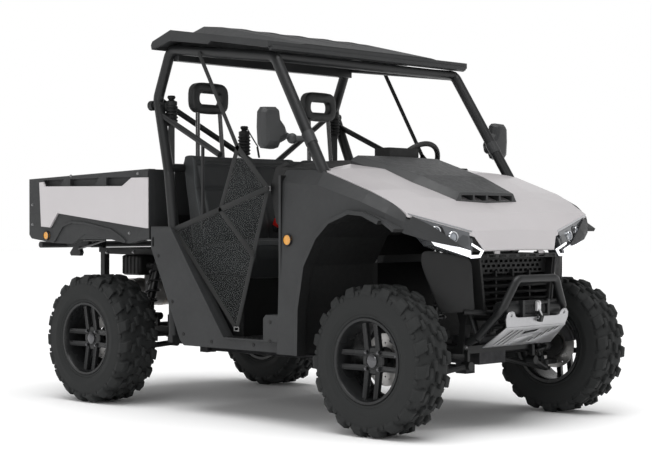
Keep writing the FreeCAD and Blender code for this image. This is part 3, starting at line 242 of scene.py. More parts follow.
def tyre_rubber(colour):
    """Dull rubber with dust in its grain."""
    f = Finish("tyre_rubber")
    dust = f.noise(18, 5, roughness=0.7)
    base = f.mix(f.band(dust, 0.45, 0.8, 0.0, 0.5), colour, tint(colour, 1.6))
    return f.finish(Base_Color=base, Roughness=f.band(dust, dark=0.66, light=0.82), Specular_IOR_Level=0.3,
                    Normal=f.bump(f.noise(520, 4), 0.0004, 0.6))


def soft_rubber(name, colour):
    """Smooth black rubber for boots, grips and hoses."""
    f = Finish(name)
    fine = f.noise(260, 3)
    return f.finish(Base_Color=f.mix(f.band(f.noise(24, 3)), colour, tint(colour, 1.5)),
                    Roughness=f.band(fine, dark=0.5, light=0.64), Normal=f.bump(fine, 0.0002, 0.5))


def seat_vinyl(name, colour):
    """Coarse-grained vinyl with soft creases."""
    f = Finish(name)
    pores = f.cells(620)
    base = f.mix(f.band(f.noise(9, 4), 0.3, 0.75), tint(colour, 0.85), tint(colour, 1.2))
    return f.finish(Base_Color=base, Roughness=f.band(pores, 0.1, 0.6, 0.46, 0.58), Sheen_Weight=0.05,
                    Normal=f.bump(pores * 0.5 + f.noise(22, 3), 0.0008, 0.55))


def webbing(name, colour, pitch=0.0022):
    """Woven strap with ribs along and across it."""
    f = Finish(name)
    thread = f.stripes(pitch, "Y") * 0.6 + f.stripes(pitch * 1.6, "Z") * 0.4
    return f.finish(Base_Color=f.mix(f.band(thread, 0.2, 0.9), tint(colour, 0.6), tint(colour, 1.3)),
                    Roughness=0.85, Normal=f.bump(thread, 0.0005, 0.8), Sheen_Weight=0.1)


def net_mesh(colour, cover):
    """Netting too fine to show its threads, which lets part of what is behind it through."""
    f = Finish("net_mesh")
    cloud = f.noise(8, 3)
    return f.finish(Base_Color=f.mix(cloud, tint(colour, 0.92), tint(colour, 1.08)), Alpha=cover,
                    Roughness=f.band(cloud, dark=0.82, light=0.88), Specular_IOR_Level=0.1)


def lamp_glow(name, colour, strength):
    """White moulded light guide, lit faintly from within."""
    f = Finish(name)
    cells = f.cells(300)
    glow = f.mix(f.band(cells, 0.0, 0.8), tint(colour, strength), tint(colour, strength * 0.92))
    return f.finish(Base_Color=f.mix(cells, colour, tint(colour, 0.9)), Roughness=0.2, Emission_Color=glow,
                    Emission_Strength=1.0, Normal=f.bump(cells, 0.0002, 0.4), Coat_Weight=0.5)


def coloured_lens(name, colour):
    """Moulded lens with small prisms."""
    f = Finish(name)
    prisms = f.cells(420, "DISTANCE_TO_EDGE")
    return f.finish(Base_Color=f.mix(f.band(prisms, 0.0, 0.4), tint(colour, 0.75), tint(colour, 1.15)),
                    Roughness=f.band(prisms, 0.0, 0.5, 0.1, 0.22), Normal=f.bump(prisms, 0.001, 0.8), Coat_Weight=0.7)


def gloss(name, colour, rough=0.08, metallic=0.0):
    """Polished surface with the faintest ripple, for glass, chrome and screens."""
    f = Finish(name)
    ripple = f.noise(40, 2)
    return f.finish(Base_Color=f.mix(f.band(f.noise(12, 4)), colour, tint(colour, 0.88)), Metallic=metallic,
                    Roughness=f.vary(ripple, rough, 0.0, 0.05), Normal=f.bump(ripple, 0.0001, 0.2), Coat_Weight=0.4)


def studio_floor():
    """Matt paper, nearly white."""
    f = Finish("studio_floor")
    base = f.mix(f.band(f.noise(0.6, 2)), (0.965, 0.965, 0.965), (0.98, 0.98, 0.98))
    return f.finish(Base_Color=base, Roughness=0.95, Specular_IOR_Level=0.1)


# Modelling helpers

def mode(name):
    """Changes the active object's mode."""
    bpy.ops.object.mode_set(mode=name)


def deselect():
    """Leaves edit mode and selects nothing."""
    if bpy.context.object and bpy.context.object.mode == "EDIT":
        mode("OBJECT")
    bpy.ops.object.select_all(action="DESELECT")


def pick(*objects):
    """Selects these objects alone and makes the last one active."""
    deselect()
    for piece in objects:
        piece.select_set(True)
    bpy.context.view_layer.objects.active = objects[-1]


def edit_all(piece):
    """Opens the piece in edit mode with all of it selected."""
    pick(piece)
    mode("EDIT")
    bpy.ops.mesh.select_all(action="SELECT")


def primitive(kind, name, **settings):
    """Adds one primitive, alone in the selection, under a name."""
    deselect()
    getattr(bpy.ops.mesh, "primitive_" + kind + "_add")(**settings)
    piece = bpy.context.object
    piece.name = name
    return piece


def settle(piece):
    """Puts the piece's place, turn and size into its mesh."""
    pick(piece)
    bpy.ops.object.transform_apply(location=True, rotation=True, scale=True)
    return piece


def moved(piece, matrix):
    """Puts the piece where a matrix says and settles it there."""
    piece.matrix_world = matrix
    return settle(piece)


def choose(piece, kind, test):
    """Selects, in edit mode, the vertices, edges or faces that pass the test."""
    pick(piece)
    mode("EDIT")
    bpy.ops.mesh.select_mode(type=kind)
    bpy.ops.mesh.select_all(action="DESELECT")
    mode("OBJECT")
    for element in {"VERT": piece.data.vertices, "EDGE": piece.data.edges, "FACE": piece.data.polygons}[kind]:
        element.select = test(element)
    mode("EDIT")


def tidy(piece, gap=SAME_SPOT):
    """Merges doubled points and turns every face outwards."""
    edit_all(piece)
    bpy.ops.mesh.remove_doubles(threshold=gap)
    bpy.ops.mesh.normals_make_consistent(inside=False)
    mode("OBJECT")
    return piece


def modify(piece, kind, **settings):
    """Adds one modifier and applies it."""
    pick(piece)
    modifier = piece.modifiers.new(kind.lower(), kind)
    for key, value in settings.items():
        setattr(modifier, key, value)
    bpy.ops.object.modifier_apply(modifier=modifier.name)
    return piece


def rounded(piece, width, segments=2, angle=30):
    """Bevels the edges that are sharper than an angle."""
    return modify(piece, "BEVEL", width=width, segments=segments, limit_method="ANGLE",
                  angle_limit=math.radians(angle), harden_normals=False)


def line_curve(name, loops, closed, smooth=False):
    """A curve object of one spline for each loop of points."""
    curve = bpy.data.curves.new(name, "CURVE")
    curve.dimensions = "3D"
    for loop in loops:
        spline = curve.splines.new("NURBS" if smooth else "POLY")
        spline.points.add(len(loop) - 1)
        for point, place in zip(spline.points, loop):
            point.co = (*place, 1)
        spline.use_cyclic_u = closed
        if smooth:
            spline.use_endpoint_u = not closed
            spline.order_u = 3
            spline.resolution_u = 6
    piece = bpy.data.objects.new(name, curve)
    bpy.context.collection.objects.link(piece)
    return piece


def meshed(piece):
    """Turns a curve into a mesh."""
    pick(piece)
    bpy.ops.object.convert(target="MESH")
    return bpy.context.object


def plate(name, loops, thickness, origin, across=X, up=Z, bevel=0.0):
    """A flat piece inside closed outlines, the later ones being holes, on both sides of its plane."""
    piece = line_curve(name, [[(u, v, 0) for u, v in loop] for loop in loops], True)
    piece.data.dimensions = "2D"
    piece.data.fill_mode = "BOTH"
    piece.data.extrude = thickness / 2
    piece = meshed(piece)
    turn = Matrix((across, up, across.cross(up))).transposed().to_4x4()
    tidy(moved(piece, Matrix.Translation(origin) @ turn))
    return rounded(piece, bevel) if bevel else piece


def bar(name, points, radius, smooth=False, closed=False, sides=3):
    """A round bar, hose or wire along a line of points."""
    piece = line_curve(name, [points], closed, smooth)
    piece.data.bevel_depth = radius
    piece.data.bevel_resolution = sides
    piece.data.use_fill_caps = not closed
    return tidy(settle(meshed(piece)))


def lathe(name, outline, steps, centre=(0, 0, 0), axis=Y):
    """Spins an outline of (radius, along) points about an axis."""
    centre = Vector(centre)
    out = axis.orthogonal().normalized()
    piece = meshed(line_curve(name, [[centre + out * r + axis * a for r, a in outline]], False))
    edit_all(piece)
    bpy.ops.mesh.spin(steps=steps, angle=math.tau, center=centre, axis=axis)
    mode("OBJECT")
    return tidy(piece)


def helix(start, out, side, rise, turns, steps):
    """Points of a coil that starts out from its axis and rises by a vector."""
    count = turns * steps
    angles = [math.tau * k / steps for k in range(count + 1)]
    return [start + out * math.cos(a) + side * math.sin(a) + rise * (k / count) for k, a in enumerate(angles)]


def around(piece, count, axis=Y):
    """Repeats a piece in a ring about an axis through the origin, as one mesh."""
    deselect()
    bpy.ops.object.empty_add(location=(0, 0, 0))
    guide = bpy.context.object
    guide.matrix_world = Matrix.Rotation(math.tau / count, 4, axis)
    bpy.context.view_layer.update()
    modify(piece, "ARRAY", count=count, use_relative_offset=False, use_object_offset=True, offset_object=guide)
    bpy.data.objects.remove(guide)
    return piece


def twin(piece, name, place=None):
    """A copy with its own mesh, moved by a matrix."""
    copied = piece.copy()
    copied.data = piece.data.copy()
    copied.name = name
    bpy.context.collection.objects.link(copied)
    return copied if place is None else moved(copied, place)


def mirrored(piece, name):
    """A copy on the other side of the vehicle."""
    return tidy(twin(piece, name, Matrix.Scale(-1, 4, Y)))


def joined(name, pieces):
    """Joins pieces into one under a name."""
    pick(*pieces)
    if len(pieces) > 1:
        bpy.ops.object.join()
    piece = bpy.context.object
    piece.name = name
    return piece


def scattered(name, master, spots):
    """Copies a small piece, made along Z, to each (place, direction), as one mesh."""
    pieces = []
    for place, direction in spots:
        turn = Vector(direction).to_track_quat("Z", "Y").to_matrix().to_4x4()
        pieces.append(twin(master, name, Matrix.Translation(Vector(place)) @ turn))
    bpy.data.objects.remove(master)
    return joined(name, pieces)


def dress(piece, material, body, angle=35):
    """Gives a finished piece its material, its smooth shading and the body that it rides on."""
    piece.data.materials.clear()
    piece.data.materials.append(material)
    pick(piece)
    bpy.ops.object.shade_smooth_by_angle(angle=math.radians(angle))
    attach(piece, body)
    return piece


def fit(name, pieces, material, body="chassis"):
    """Joins pieces into one and dresses it."""
    return dress(joined(name, pieces), material, body)


def both_sides(piece, name, material, body="chassis"):
    """Dresses a left-hand piece and its twin on the right."""
    other = mirrored(piece, name + "_right")
    piece.name = name + "_left"
    dress(piece, material, body)
    dress(other, material, body)


def on_wheels(axle, master, label, material, angle=35):
    """Puts one master on both wheels of an axle, in place of the nodes of that label."""
    for side, sign in (("left", 1), ("right", -1)):
        name = axle + "_" + side
        piece = twin(master, "dressed_" + label + "_" + name,
                     Matrix.Translation((*WHEELS[name], AXLE_Z)) @ Matrix.Scale(sign, 4, Y))
        if sign < 0:
            tidy(piece, SAME_SPOT_FINE)
        dress(piece, material, "wheel_" + name, angle)
        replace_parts(piece, label + "_" + name)
    bpy.data.objects.remove(master)


def nearest(point, spans):
    """Distance from a point to the nearest of some straight spans, 1 m at most."""
    near = 1.0
    for a, b in spans:
        spot, share = intersect_point_line(point, a, b)
        spot = a if share < 0 else b if share > 1 else spot
        near = min(near, (point - spot).length)
    return near


def circle(radius, count, centre=(0, 0), phase=0.0):
    """Points of a circle, the first one a phase past the first axis, in steps."""
    angles = [math.tau * (k + phase) / count for k in range(count)]
    return [(centre[0] + radius * math.cos(a), centre[1] + radius * math.sin(a)) for a in angles]


def rounded_rect(u, v, half_u, half_v, radius, steps=6):
    """A closed outline with rounded corners about a centre."""
    points = []
    for corner in range(4):
        su, sv = ((1, 1), (-1, 1), (-1, -1), (1, -1))[corner]
        for k in range(steps + 1):
            angle = math.pi / 2 * (corner + k / steps)
            points.append((u + su * (half_u - radius) + radius * math.cos(angle),
                           v + sv * (half_v - radius) + radius * math.sin(angle)))
    return points


def rectangle(half_u, half_v):
    """A closed outline about the origin."""
    return [(-half_u, -half_v), (half_u, -half_v), (half_u, half_v), (-half_u, half_v)]


def hex_bolt(size):
    """A hexagon head on its washer, standing on the origin along Z."""
    washer = primitive("cylinder", "washer", vertices=16, radius=size * 1.05, depth=size * 0.2,
                       location=(0, 0, size * 0.1))
    head = primitive("cylinder", "head", vertices=6, radius=size * 0.8, depth=size * 0.6, location=(0, 0, size * 0.5))
    choose(head, "FACE", lambda face: face.normal.z > SQUARE_ON)
    bpy.ops.mesh.inset(thickness=size * 0.12, depth=size * 0.08)
    settle(washer)
    settle(head)
    return joined("bolt", [washer, head])


def push_rivet(size):
    """A flat domed trim clip, standing on the origin along Z."""
    head = primitive("cylinder", "clip", vertices=14, radius=size, depth=size * 0.3, location=(0, 0, size * 0.15))
    choose(head, "FACE", lambda face: face.normal.z > SQUARE_ON)
    bpy.ops.mesh.inset(thickness=size * 0.35, depth=size * 0.12)
    bpy.ops.mesh.inset(thickness=size * 0.2, depth=-size * 0.1)
    return settle(head)


def rounded_box(name, low, high, bevel, segments=3):
    """A block between two corners with rounded edges."""
    low, high = Vector(low), Vector(high)
    piece = primitive("cube", name, size=1, location=(low + high) / 2)
    piece.scale = high - low
    settle(piece)
    return rounded(piece, bevel, segments)


def box_row(name, count, low, high, step, bevel, segments=3):
    """Equal blocks, each one step further than the last."""
    low, high, step = Vector(low), Vector(high), Vector(step)
    return [rounded_box(name, low + step * k, high + step * k, bevel, segments) for k in range(count)]


# Sizes and colours that a user would change

def colour_of(name, what, default):
    """A colour that a user may change."""
    return FloatVectorProperty(name=name, description="Colour of " + what, subtype="COLOR", default=default)


def length_of(name, description, default):
    """A length that a user may change."""
    return FloatProperty(name=name, description=description, subtype="DISTANCE", default=default)


def number_of(name, description, default):
    """A plain number that a user may change."""
    return FloatProperty(name=name, description=description, default=default)


class VehicleColours(bpy.types.PropertyGroup):
    paint: colour_of("Panel paint", "the hood and the bed's side panels", (0.50, 0.475, 0.485))
    plastic: colour_of("Plastic", "the grained body mouldings", (0.031, 0.032, 0.033))
    coat: colour_of("Cage coat", "the coated tubes", (0.011, 0.0115, 0.012))
    rubber: colour_of("Rubber", "the tyres", (0.015, 0.016, 0.016))
    vinyl: colour_of("Seat vinyl", "the seats", (0.016, 0.018, 0.019))
    net: colour_of("Net", "the side nets", (0.040, 0.042, 0.042))


class TyreSizes(bpy.types.PropertyGroup):
    pitches: IntProperty(name="Pitches", description="Lugs on each side of the tread", default=19, min=12, max=26)
    lug_width: length_of("Lug width", "Size of a lug round the tyre", 0.056)
    tread_radius: length_of("Tread radius", "Outer radius of the tyre", 0.3418)
    lug_slant: number_of("Slant", "How far a lug leans round the tyre for its width", 0.36)


class RimSizes(bpy.types.PropertyGroup):
    bar_offset: length_of("Bar offset", "From a pair's middle to each of its bars", 0.033)
    bar_width: length_of("Bar width", "Width of a bar", 0.027)


class SeatSizes(bpy.types.PropertyGroup):
    pressure: number_of("Stuffing", "Pressure that puffs the pads up", 4.0)
    swell: length_of("Swell", "Furthest that a pad swells", 0.014)
    seam_depth: length_of("Seam depth", "Depth of the sewn channels", 0.009)


class NetSizes(bpy.types.PropertyGroup):
    hem: length_of("Hem", "Width of the hems and bands", 0.026)
    cover: number_of("Cover", "Share of the light that one layer stops", 0.36)
    belly: length_of("Belly", "How far the mesh bows outwards", 0.008)


class StageSizes(bpy.types.PropertyGroup):
    floor_size: length_of("Floor", "Side of the square floor", 80.0)
    sky: number_of("Sky", "Brightness of the studio's ceiling", 0.42)
    sun: number_of("Overhead light", "Strength of the wide light from above", 2.3)
    fill: number_of("Fill light", "Power of the light beside the camera", 60.0)


# The operators

class VEHICLE_OT_stage(bpy.types.Operator):
    """Adds the floor, the soft lights and the camera"""
    bl_idname = "vehicle.stage"
    bl_label = "Stage"

    HORIZON, CEILING = 0.14, 0.42
    SUN_WIDTH, SUN_TILT = math.radians(55), (math.radians(8), math.radians(6), 0)
    FILL_PLACE, FILL_AIM, FILL_SIZE = Vector((2.5, -6.5, 3.2)), Vector((0, 0, 0.9)), (3, 1.2)
    CAMERA_PLACE = (5.860, -5.968, 0.949)
    AZIMUTH, ELEVATION = math.radians(43.74), math.radians(0.33)
    LENS, SENSOR, SHIFT = 87.27, 36, -0.0018

    def studio(self, sky):
        """A world that is white round the horizon and dimmer above and below it."""
        world = bpy.data.worlds.new("studio")
        world.use_nodes = True
        nodes, links = world.node_tree.nodes, world.node_tree.links
        view, split, height, fade = [nodes.new("ShaderNode" + kind)
                                     for kind in ("TexCoord", "SeparateXYZ", "Math", "MapRange")]
        height.operation = "ABSOLUTE"
        for key, value in (("From Min", self.HORIZON), ("From Max", self.CEILING), ("To Min", 1.0), ("To Max", sky)):
            fade.inputs[key].default_value = value
        for start, end in ((view.outputs["Generated"], split.inputs[0]), (split.outputs["Z"], height.inputs[0]),
                           (height.outputs[0], fade.inputs["Value"]),
                           (fade.outputs[0], nodes["Background"].inputs["Strength"])):
            links.new(start, end)
        nodes["Background"].inputs["Color"].default_value = (1, 1, 1, 1)
        return world

    def execute(self, context):
        props = context.scene.stage_sizes
        floor = primitive("plane", "studio_floor", size=props.floor_size)
        floor.data.materials.append(studio_floor())
        context.scene.world = self.studio(props.sky)
        bpy.ops.object.light_add(type="SUN", location=(0, 0, 5))
        sun = bpy.context.object
        sun.name = "soft_sun"
        sun.data.energy = props.sun
        sun.data.angle = self.SUN_WIDTH
        sun.rotation_euler = self.SUN_TILT
        bpy.ops.object.light_add(type="AREA", location=self.FILL_PLACE)
        fill = bpy.context.object
        fill.name = "right_fill"
        fill.data.shape = "RECTANGLE"
        fill.data.size, fill.data.size_y = self.FILL_SIZE
        fill.data.energy = props.fill
        fill.rotation_euler = (self.FILL_AIM - self.FILL_PLACE).to_track_quat("-Z", "Y").to_euler()

        ahead = Vector((-math.sin(self.AZIMUTH) * math.cos(self.ELEVATION),
                        math.cos(self.AZIMUTH) * math.cos(self.ELEVATION), -math.sin(self.ELEVATION)))
        bpy.ops.object.camera_add(location=self.CAMERA_PLACE)
        camera = bpy.context.object
        camera.rotation_euler = ahead.to_track_quat("-Z", "Y").to_euler()
        camera.data.sensor_width = self.SENSOR
        camera.data.lens = self.LENS
        camera.data.shift_y = self.SHIFT
        context.scene.camera = camera
        context.scene.view_settings.view_transform = "Standard"
        return {"FINISHED"}


class VEHICLE_OT_finishes(bpy.types.Operator):
    """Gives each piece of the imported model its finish"""
    bl_idname = "vehicle.finishes"
    bl_label = "Finishes"

    def execute(self, context):
        colours = context.scene.vehicle_colours
        plastic, coat = tuple(colours.plastic), tuple(colours.coat)
        uses = (
            (body_paint(tuple(colours.paint)), "hood_panel bed_side_panels"),
            (moulded_plastic("smooth_plastic", tint(plastic, 1.15), 0.4, 2400, 0.00006), "hood_scoop mirrors"),
            # The front fenders' finish paints shade inside their wheel wells.
            (moulded_plastic("fender_plastic_arch_shade", plastic, shaded_arch_axle=(FRONT_X, 0.0, AXLE_Z)), "front_fenders"),
            (moulded_plastic("grained_plastic", plastic), "quarter_panels roof bed_tub tailgate"),
            (moulded_plastic("dark_plastic", tint(plastic, 0.22), 0.5), "dashboard grille floor_tub seat_belts"),
            (powder_coat("cage_coat", coat), "cage_sides cage_cross bull_bar winch"),
            (powder_coat("frame_coat", tint(coat, 0.7), 0.45),
             "chassis_frame suspension_arms hitch_receiver steering_column pedals steering_rack springs"),
            (powder_coat("damper_coat", tint(coat, 0.8), 0.3), "shock_absorbers"),
            (powder_coat("dark_alloy", (0.012, 0.0125, 0.013), 0.26, 0.001), "rim"),
            (brushed_metal("brushed_plate", (0.44, 0.44, 0.45)), "front_plate"),
            (brushed_metal("muffler_steel", (0.35, 0.34, 0.33), 0.45), "muffler"),
            (cast_metal("cast_case", (0.12, 0.12, 0.125)), "engine"),
            (cast_metal("dark_case", (0.05, 0.05, 0.053)), "drive_line"),
            (cast_metal("knuckle_iron", (0.06, 0.06, 0.06)), "knuckle"),
            (tyre_rubber(tuple(colours.rubber)), "tyre"),
            (soft_rubber("wheel_grip", (0.012, 0.012, 0.012)), "steering_wheel"),
            (seat_vinyl("plain_vinyl", tuple(colours.vinyl)), "seat_cushions seat_backs headrests side_nets"),
            (gloss("lamp_housing", (0.05, 0.053, 0.057), 0.2), "headlights"),
            (coloured_lens("amber_lens", (0.78, 0.34, 0.03)), "reflectors bed_reflectors"),
            (coloured_lens("red_lens", (0.40, 0.012, 0.012)), "bed_lamps"),
        )
        finish_of = {name: material for material, names in uses for name in names.split()}
        for name, node in NODES.items():
            node.data.materials.clear()
            node.data.materials.append(finish_of.get(name) or finish_of[name.split("_")[0]])
        return {"FINISHED"}


class VEHICLE_OT_tyres(bpy.types.Operator):
    """Builds the tyres with their rounded carcass and rows of lugs"""
    bl_idname = "vehicle.tyres"
    bl_label = "Tyres"

    SHOULDER = (0.56, 1.0, 1.0, 0.0)
    CENTRE = ((0.29, 0.52, 0.86, 0.10), (0.045, 0.25, 0.92, -0.20))
    LUG_HEIGHT, CARCASS_STEPS, KNOB_TURNS = 0.018, 95, (-0.5, 0.22)

    def carcass(self, half):
        """The sidewall bulges, with a bead rib, a rim guard and the ring where the lugs end."""
        side = [(0.184, 0.56), (0.1815, 0.70), (0.186, 0.79), (0.192, 0.83), (0.196, 0.90), (0.204, 0.93),
                (0.209, 0.915), (0.213, 0.945), (0.232, 0.972), (0.236, 0.982), (0.243, 0.984), (0.246, 0.978),
                (0.268, 0.975), (0.284, 0.962), (0.298, 0.935), (0.309, 0.895), (0.317, 0.83), (0.322, 0.7),
                (0.3235, 0.4), (0.324, 0.0)]
        outline = [(r, y * half) for r, y in side] + [(r, -y * half) for r, y in reversed(side[:-1])]
        return lathe("carcass", outline + outline[:1], self.CARCASS_STEPS)

    def block(self, half, spec, props, shoulder):
        """One tread block: its two shares of the half width, its length and its turn round the tyre."""
        low, high, size, turn = spec
        length = props.lug_width * size
        root = props.tread_radius - self.LUG_HEIGHT
        top = math.sqrt(props.tread_radius ** 2 - (length * 0.55) ** 2) - 0.0005
        y0, y1 = low * half, high * half
        outline = [(y0 - 0.002, root - 0.006), (y0 + 0.002, top)]
        if shoulder:
            outline += [(y1 * 0.82, top), (y1, root - 0.014), (y1 * 0.93, root - 0.034), (y1 * 0.84, root - 0.030)]
        else:
            outline += [(y1 - 0.002, top), (y1 + 0.002, root - 0.006)]
        block = plate("block", [outline], length, Vector((0, 0, 0)), Y, Z)
        for vertex in block.data.vertices:
            flare = 1.0 if vertex.co.z < root else 0.84
            vertex.co.x = vertex.co.x * flare + props.lug_slant * (vertex.co.y - (y0 + y1) / 2)
        rounded(block, 0.0032, 2)
        return moved(block, Matrix.Rotation(math.tau / props.pitches * turn, 4, Y))

    def execute(self, context):
        props = context.scene.tyre_sizes
        step = math.tau / props.pitches
        for axle, width in AXLES.items():
            half = width / 2
            parts = [self.block(half, self.SHOULDER, props, True)]
            parts += [self.block(half, spec, props, False) for spec in self.CENTRE]
            for turn in self.KNOB_TURNS:
                knob = rounded_box("knob", (-0.010, half * 0.895, 0.290), (0.010, half * 0.965, 0.312), 0.003, 2)
                parts.append(moved(knob, Matrix.Rotation(step * turn, 4, Y)))
            parts += [moved(mirrored(piece, "other"), Matrix.Rotation(-step / 2, 4, Y)) for piece in parts]
            tread = around(joined("tread", parts), props.pitches)
            tyre = joined("tyre", [tread, self.carcass(half)])
            on_wheels(axle, tyre, "tyre", bpy.data.materials["tyre_rubber"], 42)
        return {"FINISHED"}


class VEHICLE_OT_rims(bpy.types.Operator):
    """Builds the rims with their barrels, hubs and four pairs of grooved bars"""
    bl_idname = "vehicle.rims"
    bl_label = "Rims"

    BAR_START, BAR_END, BAR_DEPTH = 0.022, 0.171, 0.022

    def bars(self, face, props):
        """Two parallel bars that rise outwards from the hub to the barrel, each with a groove."""
        pair = []
        start, end = self.BAR_START, self.BAR_END
        for side in (-1, 1):
            o, w = side * props.bar_offset, props.bar_width / 2
            outline = [(start, o - w), (end, o - w * 0.9), (end, o + w * 0.9), (start, o + w)]
            piece = plate("bar", [outline], self.BAR_DEPTH, Y * (face - 0.013))
            choose(piece, "FACE", lambda polygon: polygon.normal.y > SQUARE_ON)
            bpy.ops.mesh.inset(thickness=props.bar_width * 0.30, depth=-0.004)
            mode("OBJECT")
            for vertex in piece.data.vertices:
                vertex.co.y += 0.022 * (vertex.co.x / end) ** 2
            pair.append(rounded(piece, 0.0016, 2))
        return joined("bars", pair)

    def execute(self, context):
        props = context.scene.rim_sizes
        for axle, width in AXLES.items():
            half = width / 2 * RIM_SHARE
            face = half - HUB_DEPTH
            outer = [(0.182, 0), (0.1925, 0.006), (0.194, 0.010), (0.192, 0.0138), (0.181, 0.0138), (0.177, 0.008),
                     (0.1755, -0.002), (0.171, -0.010)]
            inner = [(0.171, 0.020), (0.174, -0.010), (0.177, -0.0135), (0.1925, -0.0135), (0.194, -0.008), (0.182, 0)]
            profile = [(r, half + a) for r, a in outer] + [(r, a - half) for r, a in inner] + [(0.182, half)]
            hub = [(0, 0.001), (0.036, 0.001), (0.039, -0.002), (0.058, -0.003), (0.064, -0.008), (0.066, -0.030),
                   (0.050, -0.045), (0, -0.045)]
            rim = joined("rim", [lathe("barrel", profile, 88), lathe("hub", [(r, face + a) for r, a in hub], 48),
                                 around(self.bars(face, props), 4)])
            on_wheels(axle, rim, "rim", bpy.data.materials["dark_alloy"])
        return {"FINISHED"}


class VEHICLE_OT_brakes(bpy.types.Operator):
    """Adds the drilled brake discs, calipers, wheel caps and valves"""
    bl_idname = "vehicle.brakes"
    bl_label = "Brakes and wheel trim"

    DISC_DEPTH, DISC_RADIUS, DISC_BORE, DISC_THICKNESS = 0.091, 0.1187, 0.058, 0.0068
    DRILL_ROWS, DRILLINGS, BOLT_CIRCLE = (0.076, 0.088, 0.100), 24, 0.052

    def disc(self, y):
        """A ring drilled through in three rows."""
        rows = [circle(radius, self.DRILLINGS) for radius in self.DRILL_ROWS]
        holes = [circle(0.004, 8, rows[k % len(rows)][k]) for k in range(self.DRILLINGS)]
        return plate("disc", [circle(self.DISC_RADIUS, 72), circle(self.DISC_BORE, 36)] + holes, self.DISC_THICKNESS,
                     Y * y)

    def caliper(self, y, turn):
        """Two halves and a bridge over the rim of the disc."""
        pieces = []
        for y0, y1, r0, r1 in ((-0.024, -0.0045, 0.084, 0.134), (0.0045, 0.018, 0.090, 0.130),
                               (-0.024, 0.018, 0.1215, 0.140)):
            span = [math.radians(a) for a in range(-28, 29, 7)]
            outline = [(r * math.cos(a), r * math.sin(a)) for r, side in ((r1, span), (r0, span[::-1])) for a in side]
            pieces.append(plate("half", [outline], y1 - y0, Y * (y + (y0 + y1) / 2), bevel=0.003))
        return moved(joined("caliper", pieces), Matrix.Rotation(math.radians(turn), 4, Y))

    def nuts(self, face):
        """Four wheel nuts and the tyre's valve."""
        spots = [((u, face + 0.0025, v), Y) for u, v in circle(self.BOLT_CIRCLE, 4, phase=0.5)]
        valve = bar("valve", [(0.150, face - 0.004, 0.030), (0.150, face + 0.018, 0.028)], 0.0045)
        return joined("nuts", [scattered("nuts", hex_bolt(0.0085), spots), valve])

    def execute(self, context):
        bright = brushed_metal("disc_steel", (0.46, 0.45, 0.44), 0.28)
        grey = cast_metal("caliper_alloy", (0.14, 0.14, 0.145), 0.45)
        chrome = gloss("wheel_chrome", (0.10, 0.10, 0.105), 0.15, 0.9)
        cap = [(0, 0.013), (0.018, 0.0125), (0.026, 0.0095), (0.0305, 0.007), (0.0305, -0.010), (0.029, -0.012)]
        for name, (x, y) in WHEELS.items():
            axle, side = name.split("_")
            face = AXLES[axle] / 2 * RIM_SHARE - HUB_DEPTH
            turn, holder = (-40, "knuckle_" + side) if axle == "front" else (150, "chassis")
            pieces = ((self.disc(face - self.DISC_DEPTH), "brake_disc_", bright, "wheel_" + name),
                      (self.caliper(face - self.DISC_DEPTH, turn), "caliper_", grey, holder),
                      (lathe("cap", [(r, face + a) for r, a in cap], 32), "wheel_cap_", chrome, "wheel_" + name),
                      (self.nuts(face), "wheel_nuts_", chrome, "wheel_" + name))
            for piece, label, material, body in pieces:
                moved(piece, Matrix.Translation((x, abs(y), AXLE_Z)))
                if y < 0:
                    right = mirrored(piece, label + name)
                    bpy.data.objects.remove(piece)
                    piece = right
                piece.name = label + name
                dress(piece, material, body)
        return {"FINISHED"}


